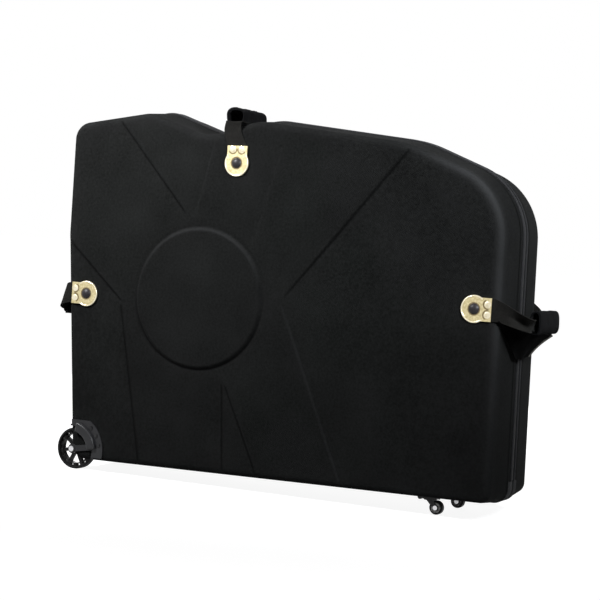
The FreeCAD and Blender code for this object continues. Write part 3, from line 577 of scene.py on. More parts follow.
cad_materials = {
    "strap_plates": plate_brass_material(), "neck_rivets": rivet_brass, "rivet_caps": cap_paint,
    "rivet_washers": steel, "wheel_tyre": tyre_rubber, "wheel_core": wheel_plastic, "wheel_bearings": steel,
    "axle_bolt": steel, "axle_nut": steel, "wheel_housing": housing_plastic, "screws": screw_black,
    "caster_plate": caster_paint, "caster_kingpin": steel, "caster_fork": caster_paint,
    "caster_wheel": caster_wheel_material(), "caster_axle": steel, "zip_slider": slider_metal,
    "zip_pull": pull_plastic,
}
for node_name, node in nodes.items():
    kind = node_name.split("_", 1)[1]
    if kind in cad_materials:
        node.data.materials.clear()
        node.data.materials.append(cad_materials[kind])


# Half shells
def segment_distance(points, a, b):
    """Distance from each point to a segment, and the place along it."""
    a, b = np.array(a, float), np.array(b, float)
    run = b - a
    along = np.clip(((points - a) @ run) / (run @ run), 0, 1)
    return np.linalg.norm(points - (a + along[:, None] * run), axis=1), along


def polygon_depth(points, polygon):
    """Distance inside a polygon, negative outside."""
    nearest = np.full(len(points), 1e9)
    inside = np.zeros(len(points), bool)
    for a, b in zip(polygon, polygon[1:] + polygon[:1]):
        nearest = np.minimum(nearest, segment_distance(points, a, b)[0])
        crosses = (a[1] > points[:, 1]) != (b[1] > points[:, 1])
        rise = (b[1] - a[1]) if b[1] != a[1] else 1e-9
        inside ^= crosses & (points[:, 0] < a[0] + (points[:, 1] - a[1]) * (b[0] - a[0]) / rise)
    return np.where(inside, nearest, -nearest)


def on_face(shares):
    """Places on the face, in shares of the hub ring from the disc's middle."""
    return [tuple(disc_centre + hub_ring * np.array(s)) for s in shares]


right_panel = on_face([(1.01, 0.035), (3.16, 2.70), (4.40, 2.70), (4.40, -2.60), (2.19, -2.60)])
left_panel = on_face([(-2.40, 1.14), (-1.006, -0.09), (-0.50, -2.60), (-2.40, -2.60)])
top_panel = on_face([(-0.205, 0.90), (-0.115, 0.91), (0.275, 2.60), (-1.744, 2.60)])
bottom_panel = on_face([(0.351, -0.90), (0.378, -0.905), (1.187, -2.60), (0.478, -2.60)])
rib_line = on_face([(0.62, 0.62), (0.90, 1.70)])
# Moulded lines: ends, drop, half width, the side that lies lower (1 is left of the run, -1 right of it)
# and how strong a painted highlight (above zero) or painted shade (below zero) runs along it
creases = [
    (top_panel[0], top_panel[3], 2.6, 3.0, 1, -0.5),
    (top_panel[1], top_panel[2], 1.8, 3.6, 1, 0.02),
    (right_panel[0], right_panel[1], 0.8, 2.6, -1, -0.6),
    (right_panel[0], right_panel[4], 2.4, 3.6, 1, 0.10),
    (left_panel[0], left_panel[1], 0.8, 2.6, -1, -0.6),
    (left_panel[1], left_panel[2], 3.0, 3.0, -1, -0.75),
    (bottom_panel[0], bottom_panel[3], 3.0, 2.6, -1, -0.8),
    (bottom_panel[1], bottom_panel[2], 2.2, 2.4, -1, -0.55),
    (rib_line[0], rib_line[1], 1.4, 4.4, 1, 0.01),
]
# Sunken panels: corners, the edge that they fade in from and how far the fade reaches
sunken = ((right_panel, (right_panel[0], right_panel[4]), 240.0),
          (left_panel, (left_panel[1], left_panel[2]), 48.0))
groove, crease_reach = 1.0, 55.0
slope_start, slope_end = -1.5, 4.5
disc_moat, sway_height = 1.2, 0.25
# Painted shade along the seam, and painted highlight on the turned edge with how far it reaches
seam_shade, edge_highlight, edge_highlight_reach = 0.95, (0.05, 0.55), 13.0
# Mesh pitch near the moulded lines and away from them, and how far near reaches
face_mesh, lining_mesh = (2.2, 9.0, 10.0), (30.0, 30.0, -1.0)


def crease_height(points, a, b, drop, width, side):
    """A sharp fall across a line that recovers slowly on its lower side."""
    a, b = np.array(a), np.array(b)
    run = unit(b - a)
    across = side * ((points - a) @ np.array([-run[1], run[0]]))
    along = ((points - a) @ run) / np.linalg.norm(b - a)
    near = smoothstep(-0.02, 0.07, along) * (1 - smoothstep(1.0, 1.06, along))
    fall = smoothstep(-width, width, across) * np.exp(-np.maximum(across - width, 0) / crease_reach)
    pressed = groove * np.exp(-(across / width) ** 2)
    return -(drop * fall + pressed) * near


def emboss(points):
    """Height of the moulded face above its plane at each x, z."""
    height = np.zeros(len(points))
    for panel, edge, fade in sunken:
        sunk = smoothstep(slope_start, slope_end, polygon_depth(points, panel))
        height -= panel_depth * sunk * smoothstep(0, fade, segment_distance(points, *edge)[0])
    for crease in creases:
        height += crease_height(points, *crease[:5])
    radius = np.linalg.norm(points - disc_centre, axis=1)
    height += disc_rise * (1 - smoothstep(disc_radius - 8, disc_radius + 2, radius))
    height -= disc_moat * np.exp(-((radius - disc_radius - 3.5) / 3.0) ** 2)
    return height + sway_height * np.sin(points[:, 0] / 61.0 + 0.7) * np.sin(points[:, 1] / 83.0 + 1.9)


def crease_painted_light(points):
    """Painted highlight and painted shade at each place on the face."""
    painted_highlight, painted_shade = np.zeros(len(points)), np.zeros(len(points))
    for a, b, _, width, _, light_paint in creases:
        distance, along = segment_distance(points, a, b)
        line = abs(light_paint) * np.exp(-(distance / (width * 1.1)) ** 2) * smoothstep(0, 0.05, along)
        if light_paint > 0:
            painted_highlight = np.maximum(painted_highlight, line)
        else:
            painted_shade = np.maximum(painted_shade, line)
    across = points - disc_centre
    radius = np.linalg.norm(across, axis=1)
    rise = across[:, 1] / np.maximum(radius, 1)
    rim = np.exp(-((radius - disc_radius - 1.0) / 3.0) ** 2)
    crown = np.exp(-((radius - disc_radius + 4.0) / 4.0) ** 2)
    # Painted shade under the disc's lower rim, painted highlight on its upper crown
    painted_shade = np.maximum(painted_shade, 0.7 * smoothstep(-0.3, 0.7, -rise) * rim)
    return np.maximum(painted_highlight, 0.3 * smoothstep(0.1, 0.9, rise) * crown), painted_shade


def detail_distance(points):
    """Distance to the nearest moulded line, for placing mesh points."""
    nearest = np.abs(np.linalg.norm(points - disc_centre, axis=1) - disc_radius + 3)
    for a, b, *_ in creases:
        nearest = np.minimum(nearest, segment_distance(points, a, b)[0])
    return nearest


def face_points(boundary, fine, coarse, band):
    """A coarse grid over the face, with a fine one along the moulded lines."""
    low, high = boundary.min(0), boundary.max(0)
    found = []
    for pitch, near in ((fine, True), (coarse, False)):
        xs, zs = (np.arange(low[k] + pitch / 2, high[k], pitch) for k in (0, 1))
        grid = np.array(np.meshgrid(xs, zs)).reshape(2, -1).T
        distance = detail_distance(grid)
        grid = grid[distance < band] if near else grid[distance >= band + coarse / 3]
        found.append(grid[polygon_depth(grid, [tuple(p) for p in boundary]) > pitch * 0.6])
    return np.vstack(found)


def narrowed(depth):
    """How far the draft draws the outline in at a depth."""
    return draft * max(0.0, depth - rim_land) / (half_depth - rim_land)


def shell_rings(wall):
    """Depth, offset and face share of each ring from the rim to the face."""
    depths = (zip_half, 18.0, rim_land - 4.0, seam_depth, 38.0, 52.0, 76.0, 98.0)
    rings = [(depth, -wall - narrowed(depth), 0.0) for depth in depths]
    radius = edge_radius - wall
    start = half_depth - wall - radius
    for turn in np.linspace(0, math.pi / 2, 10):
        offset = -wall - narrowed(start) - radius * (1 - math.cos(turn))
        rings.append((start + radius * math.sin(turn), offset, math.sin(turn) ** 2))
    return rings


def shell_surface(wall, detailed):
    """Points and faces of one skin of the front half, as x, depth, z."""
    def placed(flat, depth, share):
        lift = emboss(flat) * share if detailed else np.zeros(len(flat))
        return np.column_stack([flat[:, 0], depth + lift, flat[:, 1]])

    count, rings = len(outline_points), shell_rings(wall)
    points = [placed(outline_points + outline_normals * offset, depth, share)
              for depth, offset, share in rings]
    faces = grid_faces(len(rings), count, rings=True)
    boundary = points[-1][:, ::2]
    inner = face_points(boundary, *(face_mesh if detailed else lining_mesh))
    points.append(placed(inner, half_depth - wall, 1.0))
    flat = [Vector(p) for p in np.vstack([boundary, inner])]
    made = delaunay_2d_cdt(flat, [], [list(range(count))], 1, 1e-4)
    source = [(len(rings) - 1) * count + ids[0] for ids in made[3]]
    faces += [tuple(source[v] for v in triangle) for triangle in made[2]]
    return np.vstack(points), faces


def shell_painted_light(outer, total):
    """Painted highlight on the turned edge, strongest on the right end towards the top, and painted shade
    along the seam and the moulded lines.
    """
    count, rings = len(outline_points), shell_rings(0.0)
    painted_highlight, painted_shade, from_edge = np.zeros(total), np.zeros(total), np.zeros(len(outer))
    arc = edge_radius * math.pi / 2
    for k, (depth, _, share) in enumerate(rings):
        ring = slice(k * count, (k + 1) * count)
        turned = arc * (2 * math.asin(math.sqrt(share)) / math.pi - 0.5)
        from_edge[ring] = turned - max(half_depth - edge_radius - depth, 0.0)
        # Painted shadow gap along the seam
        if depth == seam_depth:
            painted_shade[ring] = seam_shade
    last = outer[ring, ::2]
    for k in range(len(rings) * count, len(outer)):
        from_edge[k] = arc / 2 + np.min(np.hypot(*(last - outer[k, ::2]).T))
    # Painted highlight, strongest on the right end and towards the top
    lit_side = smoothstep(250, 480, outer[:, 0]) * (0.35 + 0.65 * smoothstep(150, 650, outer[:, 2]))
    painted_highlight[:len(outer)] = (edge_highlight[0] + edge_highlight[1] * lit_side) * np.exp(-(from_edge / edge_highlight_reach) ** 2)
    on_front = slice((len(rings) - 3) * count, len(outer))
    highlight_paint, painted_shade[on_front] = crease_painted_light(outer[on_front, ::2])
    painted_highlight[on_front] = np.maximum(painted_highlight[on_front], highlight_paint)
    return {"painted_highlight": painted_highlight, "painted_shade": painted_shade}


def half_shell():
    """Front half as x, depth, z: outer skin, lining and the rim between them."""
    count = len(outline_points)
    outer, outer_faces = shell_surface(0.0, True)
    lining, lining_faces = shell_surface(shell_wall, False)
    start = len(outer)
    rim = [(j, (j + 1) % count, start + (j + 1) % count, start + j) for j in range(count)]
    faces = outer_faces + [tuple(start + i for i in face) for face in lining_faces] + rim
    indices = [0] * len(outer_faces) + [1] * len(lining_faces) + [0] * len(rim)
    return np.vstack([outer, lining]), faces, indices, shell_painted_light(outer, start + len(lining))


def cut_well(piece, side):
    """Cuts the round wheel well out of a shell."""
    around = turns(96)
    points = [(axle[0] + well_radius * math.cos(turn), side * depth, axle[1] + well_radius * math.sin(turn))
              for depth in (half_depth + 40.0, well_floor) for turn in around]
    faces = tube_faces(2, len(around))
    if side > 0:
        faces = [face[::-1] for face in faces]
    cutter_mesh = bpy.data.meshes.new("well_cutter")
    cutter_mesh.from_pydata([tuple(p) for p in row(points)], [], faces)
    cutter = bpy.data.objects.new("well_cutter", cutter_mesh)
    scene.collection.objects.link(cutter)
    cut = piece.modifiers.new("well", "BOOLEAN")
    cut.operation = "DIFFERENCE"
    cut.solver = "EXACT"
    cut.object = cutter
    bpy.context.view_layer.update()
    made = bpy.data.meshes.new_from_object(piece.evaluated_get(bpy.context.evaluated_depsgraph_get()))
    piece.modifiers.clear()
    piece.data = made
    bpy.data.objects.remove(cutter)
    made.polygons.foreach_set("use_smooth", [True] * len(made.polygons))
    made.set_sharp_from_angle(angle=math.radians(50))


shell_points, shell_faces, shell_indices, painted_light_values = half_shell()
for half, side in HALVES:
    shell = make_piece(half + "_shell_moulding", shell_points * np.array([1.0, side, 1.0]), shell_faces,
                       [shell_cloth, lining_cloth], half + "_half", "shell_fabric", indices=shell_indices)
    # Painted highlight and painted shade, carried as mesh attributes
    for light_paint, values in painted_light_values.items():
        shell.data.attributes.new(light_paint, "FLOAT", "POINT").data.foreach_set("value", values)
    cut_well(shell, side)
    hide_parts(half + "_shell")

# Rim bindings, zip and hinge
zip_path = outline_part(True, zip_end_height)
hinge_path = outline_part(False, hinge_end_height)
binding_profile = [(0.0, 7.2), (1.6, 7.05), (3.0, 7.6), (3.8, 8.8), (3.95, 10.2), (3.2, 11.4), (3.1, 12.0),
                   (3.3, 12.6), (3.0, 13.8), (2.2, 14.6), (1.0, 15.0), (0.0, 15.0)]
tape_profile = [(-0.15, 0.2), (-0.15, 8.5), (-1.15, 8.5), (-1.15, 0.2)]
leaf_profile = [(0.05, 0.2), (1.35, 0.2), (1.35, 14.0), (1.45, 22.0), (1.45, 25.0), (1.2, 25.6), (1.2, 26.2),
                (1.45, 26.8), (1.45, 29.2), (0.9, 29.9), (0.05, 29.9)]
fold_profile = [(1.5, -5.0), (1.9, -4.2), (2.1, -2.0), (2.1, 0.0), (2.1, 2.0), (1.9, 4.2), (1.5, 5.0),
                (1.4, 2.0), (1.4, 0.0), (1.4, -2.0)]
stitch_pitch, tooth_pitch = 5.0, 2.6
# Length, height, width, offset and depth of a bar
binding_stitch, hinge_stitch = (3.4, 0.45, 0.8, 3.0, 12.0), (3.4, 0.4, 0.8, 1.2, 25.9)
zip_tooth = (1.5, 1.75, 2.9, -0.1, 1.6)
for half, side in HALVES:
    body = half + "_half"
    points, faces, uv = swept(*zip_path, binding_profile, side)
    piece = make_piece(half + "_rim_binding_tape", points, faces, [binding_tape], body, "binding_fabric",
                       uv=uv)
    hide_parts(half + "_rim_binding")
    points, faces = boxes_along(*resample(*zip_path, stitch_pitch), *binding_stitch, side)
    make_piece(half + "_binding_stitching", points, faces, [thread], body, "binding_fabric", closed=False)
    points, faces, uv = swept(*zip_path, tape_profile, side)
    piece = make_piece(half + "_zip_tape_cloth", points, faces, [zip_cloth], body, "zip_tape", uv=uv)
    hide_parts(half + "_zip_tape")
    even, turned = resample(*zip_path, tooth_pitch)
    if side > 0:
        even, turned = (even[:-1] + even[1:]) / 2, turned[:-1]
    points, faces = boxes_along(even, turned, *zip_tooth, side)
    piece = make_piece(half + "_zip_teeth", points, faces, [tooth_plastic], body, "zip_coil", sharp=40,
                       closed=False)
    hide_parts(half + "_zip_coil")
    points, faces, uv = swept(*hinge_path, leaf_profile, side)
    piece = make_piece(half + "_hinge_cloth", points, faces, [hinge_cloth], body, "hinge_fabric", uv=uv)
    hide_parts(half + "_hinge_leaf")
    points, faces = boxes_along(*resample(*hinge_path, stitch_pitch), *hinge_stitch, side)
    make_piece(half + "_hinge_stitching", points, faces, [thread], body, "hinge_fabric", closed=False)

hinge_x, hinge_z = hinge_path[0].T
straight = (hinge_x > -490.0) & (hinge_x < 560.0) & (hinge_z < 60.0)
points, faces, uv = swept(*(values[straight] for values in hinge_path), fold_profile, 1)
fold = make_piece("hinge_fold_strip", points, faces, [hinge_cloth], None, "hinge_fabric", uv=uv)
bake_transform(fold)


# Carry straps
def strap_ribbon(name, half):
    """Webbing from the plate over the edge into the grip, twisting and cupping where it is drawn in."""
    strap, front = straps[name], half < 0
    edge, level = strap["edge"], strap["level"] + webbing_thickness / 2
    grip_start = strap["length"] / 2 - half * strap["forward"] + (strap["grip_more"] if front else 0)
    out = edge + strap["standoff"] + strap["enter"][0]
    tongue = 24.0 if front else 30.0
    flat_end = edge - strap["setback"]
    across = np.linspace(-1, 1, 15)
    share = np.linspace(0, 1, 56)
    drawn = smoothstep(0.16, 0.74, share) if front else smoothstep(0.06, 0.5, share)
    fold = drawn * (1 - 0.85 * smoothstep(0.62, 0.88, share))
    chord = webbing_width + (strap["chord"] - webbing_width) * drawn
    sway = strap["sway"] * np.sin(math.pi * smoothstep(0.05, 0.85, share))
    middle = np.zeros((len(share), len(across), 3))
    for j, q in enumerate(across):
        bend = edge + strap["bulge"] + strap["skew"] * q
        corners = [(flat_end - 20.0, level), (flat_end + 4.0, level), (max(bend, flat_end + 12.0), level),
                   (out, max(grip_start + 14.0, 0.6 * level)), (out, grip_start - tongue)]
        line, travel = spread(chaikin(np.array(corners, float)), len(share))
        tangent = unit(np.gradient(line, axis=0))
        curl = strap["curl"][1 if q > 0 else 0] if front else rear_curl
        lift = curl * fold * abs(q) ** 1.3 + 0.5 * drawn * np.sin(share * 22.0 + q * 2.0)
        u = line[:, 0] - tangent[:, 1] * lift
        d = line[:, 1] + tangent[:, 0] * lift
        v = strap["across"] + (strap["drop"] + strap["enter"][1]) * drawn + q * chord / 2 + sway
        middle[:, j] = np.column_stack(strap_place(name, u, half * d, v))
    uv = [(t * travel, webbing_width / 2 * (s + 1)) for _ in range(2) for t in share for s in across]
    return (*two_skins(middle, webbing_thickness * 0.48), uv)


def grip_sleeve(name):
    """A padded wrap rolled once round the strap, with an overlapping flap along its length."""
    strap = straps[name]
    out = strap["edge"] + strap["standoff"] + strap["grip_moved"][0]
    across = strap["across"] + strap["drop"] + strap["grip_moved"][1]
    half_width, half_thickness = strap["grip_half"]
    length = strap["length"] + strap["grip_more"]
    start = -strap["length"] / 2 - strap["forward"] - strap["grip_more"]
    around, thickness, lap, squareness = 80, 3.0, 3.6, 2.6
    phis = np.linspace(0, 2 * math.pi + 0.85, around) + strap["lap_turn"]
    inset = lap * (1 - np.linspace(0, 1, around))
    profile = []
    for side_inset, order in ((0.0, range(around)), (thickness, range(around - 1, -1, -1))):
        for k in order:
            c, s = math.cos(phis[k]), math.sin(phis[k])
            shape = (abs(c) ** squareness + abs(s) ** squareness) ** (-1 / squareness)
            profile.append((c * shape, s * shape, inset[k] + side_inset))
    ends = [0.0, 0.5, 1.6, 4.0]
    stations = ends + list(np.linspace(8.0, length - 8.0, 30)) + [length - end for end in ends[::-1]]
    at = np.array(stations)[:, None]
    c, s, depth = np.array(profile).T
    end = np.minimum(at, length - at)
    pinch = 1.3 * (1 - smoothstep(0, 2.2, end))
    hem = 0.7 * np.exp(-((end - 8.0) / 1.4) ** 2)
    wave = 0.7 * np.sin(at / 8.0 + 3.1 * c + 1.7 * s) + 0.4 * np.sin(at / 3.7 - 5.0 * s)
    shrink = depth + 0.6 + pinch + hem + 0.6 * wave
    places = strap_place(name, out + s * (half_thickness - shrink), start + at + 0 * s,
                         across + c * (half_width - shrink))
    points = np.dstack(places).reshape(-1, 3)
    columns, rows = len(profile), len(stations)
    faces = grid_faces(rows, columns, rings=True)
    for first in (0, (rows - 1) * columns):
        last = first + columns - 1
        faces += [(first + k, first + k + 1, last - 1 - k, last - k) for k in range(around - 1)]
    return points, faces


def wrap_flap():
    """Middle grid of the right wrap's loose end, from the strap's lower edge to a short edge at the wall."""
    upper = chaikin(np.array([(583.0, -137.0, 468.0), (604.0, -134.0, 458.0), (640.0, -104.0, 452.0),
                              (656.0, -60.0, 446.0), (662.0, -10.0, 441.0), (662.0, 24.0, 439.0)]))
    lower = np.array([(602.0, -56.0, 380.0), (606.0, -20.0, 379.0), (609.0, 22.0, 386.0)])
    rows, columns = 22, 33
    top, foot = (spread(line, columns)[0] for line in (upper, lower))
    s, t = np.meshgrid(np.linspace(0, 1, columns), np.linspace(0, 1, rows))
    middle = top * (1 - t)[:, :, None] + foot * t[:, :, None]
    middle[:, :, 0] += 1.8 * t * np.sin(13.0 * s + 2.5 * t) - 6.0 * np.sin(math.pi * t) * s + 1.5
    return middle


for name in straps:
    for half, side in HALVES:
        points, faces, uv = strap_ribbon(name, side)
        piece = make_piece(f"{half}_{name}_strap", points, faces, [strap_webbing], half + "_half", "webbing",
                           uv=uv, sharp=60)
        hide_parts(f"{half}_{name}_webbing")
    points, faces = grip_sleeve(name)
    piece = make_piece(name + "_grip_wrap", points, faces, [grip_cloth], "rear_half", "grip_fabric", sharp=60)
    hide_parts(name + "_grip")

flap_middle, flap_thickness = wrap_flap(), 2.6
points, faces = two_skins(flap_middle, flap_thickness / 2)
# The wrap's loose flap, darkened by painted shade
piece = make_piece("right_grip_flap", points, faces, [flap_shade_cloth], "rear_half", "grip_fabric", sharp=60)
# Pale binding along the flap's rear edge, partly a painted highlight
trim_route = flap_middle[::-1, -1] + np.array([0.5, -0.5, -0.5])
trim_ring = [np.array([2.4 * math.cos(turn), 4.4 * math.sin(turn), -2.4 * math.cos(turn)])
             for turn in turns(10)]
make_piece("right_grip_flap_edge", [at + offset for at in trim_route for offset in trim_ring],
           tube_faces(len(trim_route), len(trim_ring)), [flap_edge_highlight], "rear_half", "grip_fabric", sharp=60)


def plate_relief(side):
    """Stamped relief of the strap plates: a bead round the rim and a low bump round each neck rivet."""
    points, faces = [], []
    bead_turns, bead_ring = np.linspace(bead_opening, 2 * math.pi - bead_opening, 49), turns(8)
    bump_shares, bump_ring = (1.0, 0.96, 0.85, 0.7, 0.5), turns(28)
    for name, strap in straps.items():
        end, across = strap["edge"] - strap["setback"], strap["across"]
        # Each form as rings of middle, radius, angle and rise
        bead = [(plate_ring + bead_radius * (math.cos(lean) - 2), 0.7 * bead_radius * math.sin(lean))
                for lean in bead_ring]
        forms = [(end - plate_neck, across,
                  [[(radius, turn, rise) for radius, rise in bead] for turn in bead_turns])]
        for offset in (-bump_spacing / 2, bump_spacing / 2):
            forms.append((end - bump_setback, across + offset,
                          [[(bump_size * share, turn, bump_rise * (1 - share ** 2) * 1.33 - 0.1)
                            for turn in bump_ring] for share in bump_shares]))
        for u, v, rings in forms:
            faces += tube_faces(len(rings), len(rings[0]), len(points))
            for radius, turn, rise in (place for ring in rings for place in ring):
                points.append(strap_place(name, u + radius * math.cos(turn),
                                          side * (strap["level"] + plate_thickness + rise),
                                          v + radius * math.sin(turn)))
    return points, faces


for half, side in HALVES:
    make_piece(half + "_plate_relief", *plate_relief(side), [rivet_brass], half + "_half", "plate_brass",
               sharp=50)

# Padded divider with its tie-downs, inside the rear half
divider_low = np.array([-458.0, 107.0])
divider_high = np.array([503.0, 740.0])
pad_back, pad_thickness, pad_rim, pad_waist = 127.4, 7.8, 0.6, 6.0
quilt_pitch = 120.0
tie_places = (-217.5, 262.5)


def divider_pad():
    """A quilted pad: flat on the shell, crowned between its seams on the other side."""
    columns, rows = 121, 81
    size = divider_high - divider_low
    s, t = np.meshgrid(np.linspace(-1, 1, columns), np.linspace(-1, 1, rows))
    x = divider_low[0] + size[0] * (s + 1) / 2 - pad_waist * (1 - t ** 2) * abs(s) ** 8 * np.sign(s)
    z = divider_low[1] + size[1] * (t + 1) / 2 - pad_waist * (1 - s ** 2) * abs(t) ** 8 * np.sign(t)
    crown = smoothstep(0, 0.05, np.minimum(1 - abs(s), (1 - abs(t)) * size[1] / size[0]))
    seam = np.minimum(*(abs((x + k * z) % quilt_pitch - quilt_pitch / 2) for k in (1, -1)))
    quilt = 1 - 0.5 * np.exp(-(seam / 5.0) ** 2)
    thick = pad_rim + 1.8 * (1 - crown) + (pad_thickness - pad_rim) * crown * quilt
    skins = [np.dstack([x, pad_back - thick * layer, z]).reshape(-1, 3) for layer in (0, 1)]
    return np.vstack(skins), [face[::-1] for face in skin_faces(rows, columns)]


points, faces = divider_pad()
pad = make_piece("quilted_divider_pad", points, faces, [pad_cloth], "rear_half", "divider_fabric", sharp=70)
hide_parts("padded_divider")


def tie_strap(x):
    """A flat strap over the pad, sewn to the shell beyond both edges."""
    low, high = divider_low[1], divider_high[1]
    route = chaikin(np.array([(77.5, 128.0), (96.0, 128.0), (low - 1.0, 127.0), (low - 0.6, 119.0),
                              (low + 20.0, 118.4), (high - 20.0, 118.4), (high + 0.6, 119.0),
                              (high + 1.0, 127.0), (751.0, 128.0), (769.5, 128.0)]), 2)
    tangent = unit(np.gradient(route, axis=0))
    ring = [(-12.5, -0.5), (-12.0, -0.9), (12.0, -0.9), (12.5, -0.5), (12.5, 0.5), (12.0, 0.9), (-12.0, 0.9),
            (-12.5, 0.5)]
    points, uv = [], []
    for (z, y), (along_z, along_y), s in zip(route, tangent, lengths_along(route)):
        points += [(x + a, y - along_z * b, z + along_y * b) for a, b in ring]
        uv += [(s, a + 12.5) for a, _ in ring]
    return points, tube_faces(len(route), len(ring)), uv


def ladder_buckle(x):
    """A moulded slide buckle: a rounded frame with two slots and a raised grip bar."""
    z0, back = (divider_low[1] + divider_high[1]) / 2, 117.3
    xs = [-16.5, -15.5, -12.8, 12.8, 15.5, 16.5]
    zs = [-19.5, -18.2, -14.5, -6.0, -2.0, 2.0, 6.0, 14.5, 18.2, 19.5]
    height = [1.2, 3.6, 5.0, 4.4, 5.6, 6.8, 5.6, 5.0, 3.6, 1.2]
    slots = {(2, 2), (2, 6)}
    points, faces, edges = [], [], {}
    for layer in (0, 1):
        for i, z in enumerate(zs):
            for j, xx in enumerate(xs):
                corner = 2.2 if i in (0, 9) and j in (0, 5) else 0.0
                thick = height[i] * (0.55 if j in (0, 5) else 1.0)
                points.append((x + xx - math.copysign(corner, xx), back - layer * thick,
                               z0 + z - math.copysign(corner, z)))
    columns, lower = len(xs), len(xs) * len(zs)
    for i in range(len(zs) - 1):
        for j in range(columns - 1):
            if (j, i) in slots:
                continue
            quad = (i * columns + j, i * columns + j + 1, (i + 1) * columns + j + 1, (i + 1) * columns + j)
            faces += [quad, tuple(lower + k for k in quad[::-1])]
            for edge in zip(quad, quad[1:] + quad[:1]):
                if edge[::-1] in edges:
                    del edges[edge[::-1]]
                else:
                    edges[edge] = True
    faces += [(b, a, lower + a, lower + b) for a, b in edges]
    return points, [face[::-1] for face in faces], []


def merged(parts):
    """Several sets of points, faces and uv as one."""
    points, faces, uv = [], [], []
    for part_points, part_faces, part_uv in parts:
        faces += [tuple(len(points) + i for i in face) for face in part_faces]
        points += part_points
        uv += part_uv
    return points, faces, uv


def round_edges(piece, width, angle):
    rounding = piece.modifiers.new("rounding", "BEVEL")
    rounding.width = width * MM
    rounding.segments = 2
    rounding.limit_method = "ANGLE"
    rounding.angle_limit = math.radians(angle)


points, faces, uv = merged([tie_strap(x) for x in tie_places])
ties = make_piece("tie_down_webbing", points, faces, [tie_webbing], "rear_half", "tie_webbing", uv=uv,
                  sharp=50)
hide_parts("tie_down_straps")
points, faces, _ = merged([ladder_buckle(x) for x in tie_places])
buckles = make_piece("tie_down_slide_buckles", points, faces, [buckle_plastic], "rear_half", "buckle_plastic")
round_edges(buckles, 0.7, 35)
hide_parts("tie_down_buckles")

# Rounded edges on the hard CAD pieces
for kind, width in (("strap_plates", 0.5), ("wheel_housing", 0.8), ("caster_plate", 0.4), ("screws", 0.5),
                    ("axle_bolt", 0.6), ("neck_rivets", 0.35)):
    for half, _ in HALVES:
        round_edges(nodes[half + "_" + kind], width, 40)

# Floor, light and camera
camera_place = (1915.0, -4025.0, 636.34)
camera_heading, camera_tilt, camera_roll = 25.205, 2.113, 3.818
focal_pixels, picture_pixels, sensor_width = 1799.57, 600, 36.0


def camera():
    """The photograph's viewpoint: place, heading, tilt and roll."""
    place = Vector((camera_place[0] + shift, *camera_place[1:])) * MM
    yaw, pitch, roll = (math.radians(a) for a in (camera_heading, camera_tilt, camera_roll))
    ahead = Vector((-math.sin(yaw) * math.cos(pitch), math.cos(yaw) * math.cos(pitch), -math.sin(pitch)))
    right = Vector((math.cos(yaw), math.sin(yaw), 0))
    up = right.cross(ahead)
    across = right * math.cos(roll) + up * math.sin(roll)
    upward = -right * math.sin(roll) + up * math.cos(roll)
    data = bpy.data.cameras.new("camera")
    data.sensor_width = sensor_width
    data.lens = focal_pixels / picture_pixels * sensor_width
    data.clip_end = 100.0
    made = bpy.data.objects.new("camera", data)
    rows = [(across[k], upward[k], -ahead[k], place[k]) for k in range(3)]
    made.matrix_world = Matrix(rows + [(0, 0, 0, 1)])
    scene.collection.objects.link(made)
    scene.camera = made


def softbox(name, place, target, size, power, colour=(1, 1, 1), spread_degrees=180.0):
    data = bpy.data.lights.new(name, "AREA")
    data.shape = "RECTANGLE"
    data.size, data.size_y = size
    data.energy = power
    data.color = colour
    data.spread = math.radians(spread_degrees)
    made = bpy.data.objects.new(name, data)
    made.location = place
    made.rotation_euler = (Vector(target) - Vector(place)).to_track_quat("-Z", "Y").to_euler()
    made.visible_camera = False
    scene.collection.objects.link(made)


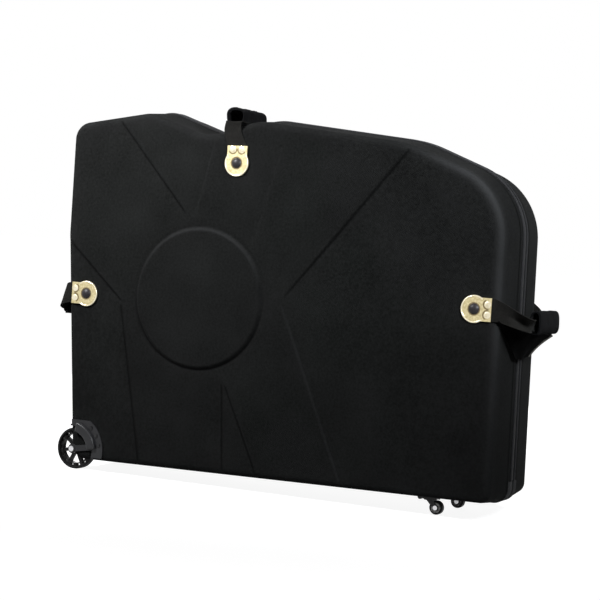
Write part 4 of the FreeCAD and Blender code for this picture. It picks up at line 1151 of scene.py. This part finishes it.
def pale_background(tree, plain, white):
    """White for what the camera and reflections see, a plain level for the light it gives."""
    path = add_node(tree, "ShaderNodeLightPath").outputs
    seen = Field(path["Is Camera Ray"]).math("MAXIMUM", Field(path["Is Transmission Ray"]))
    seen = seen.math("MAXIMUM", Field(path["Is Glossy Ray"]))
    plain, white = (Field(shader.outputs[0]) for shader in (plain, white))
    return Field(add_node(tree, "ShaderNodeMixShader", {0: seen, 1: plain, 2: white}).outputs[0])


def world():
    made = bpy.data.worlds.new("studio")
    scene.world = made
    made.use_nodes = True
    tree = made.node_tree
    tree.nodes.clear()
    plain = add_node(tree, "ShaderNodeBackground", {"Color": (0.97, 0.98, 1.0, 1), "Strength": 0.05})
    white = add_node(tree, "ShaderNodeBackground", {"Color": (1, 1, 1, 1), "Strength": 1.0})
    add_node(tree, "ShaderNodeOutputWorld", {"Surface": pale_background(tree, plain, white)})


def floor():
    """A pale floor that keeps the shadow and goes over into the white background."""
    reach = 40.0
    mesh = bpy.data.meshes.new("floor")
    mesh.from_pydata([(-reach, -reach, 0), (reach, -reach, 0), (reach, reach, 0), (-reach, reach, 0)], [],
                     [(0, 1, 2, 3)])
    material, tree, shader = new_material("pale_floor", (0.28, 0.28, 0.28), 0.9, specular=0.0)
    away = add_node(tree, "ShaderNodeVectorMath", {0: coordinates(tree, "Object")}, operation="LENGTH")
    level = map_range(tree, Field(away.outputs["Value"]), 0.6, 1.25, 0.91, 1.0)
    glow = add_node(tree, "ShaderNodeEmission", {"Color": (1, 1, 1, 1), "Strength": level})
    both = add_node(tree, "ShaderNodeAddShader", {0: Field(shader.outputs[0]), 1: Field(glow.outputs[0])})
    output = next(n for n in tree.nodes if n.type == "OUTPUT_MATERIAL")
    feed(pale_background(tree, shader, both), output.inputs["Surface"])
    mesh.materials.append(material)
    made = bpy.data.objects.new("floor", mesh)
    scene.collection.objects.link(made)


camera()
world()
floor()
softbox("key_light", (-1.10, -1.35, 1.85), (-0.45, 0.0, 0.80), (0.7, 0.6), 20.6, (0.97, 0.985, 1.0), 70.0)
softbox("side_light", (1.75, -1.00, 1.45), (0.50, 0.0, 1.00), (0.4, 0.7), 14.5, (0.92, 0.96, 1.0), 70.0)
softbox("back_light", (-1.20, 2.60, 0.55), (-0.10, 0.1, 0.45), (3.0, 1.0), 48.0)
scene.view_settings.view_transform = "Standard"
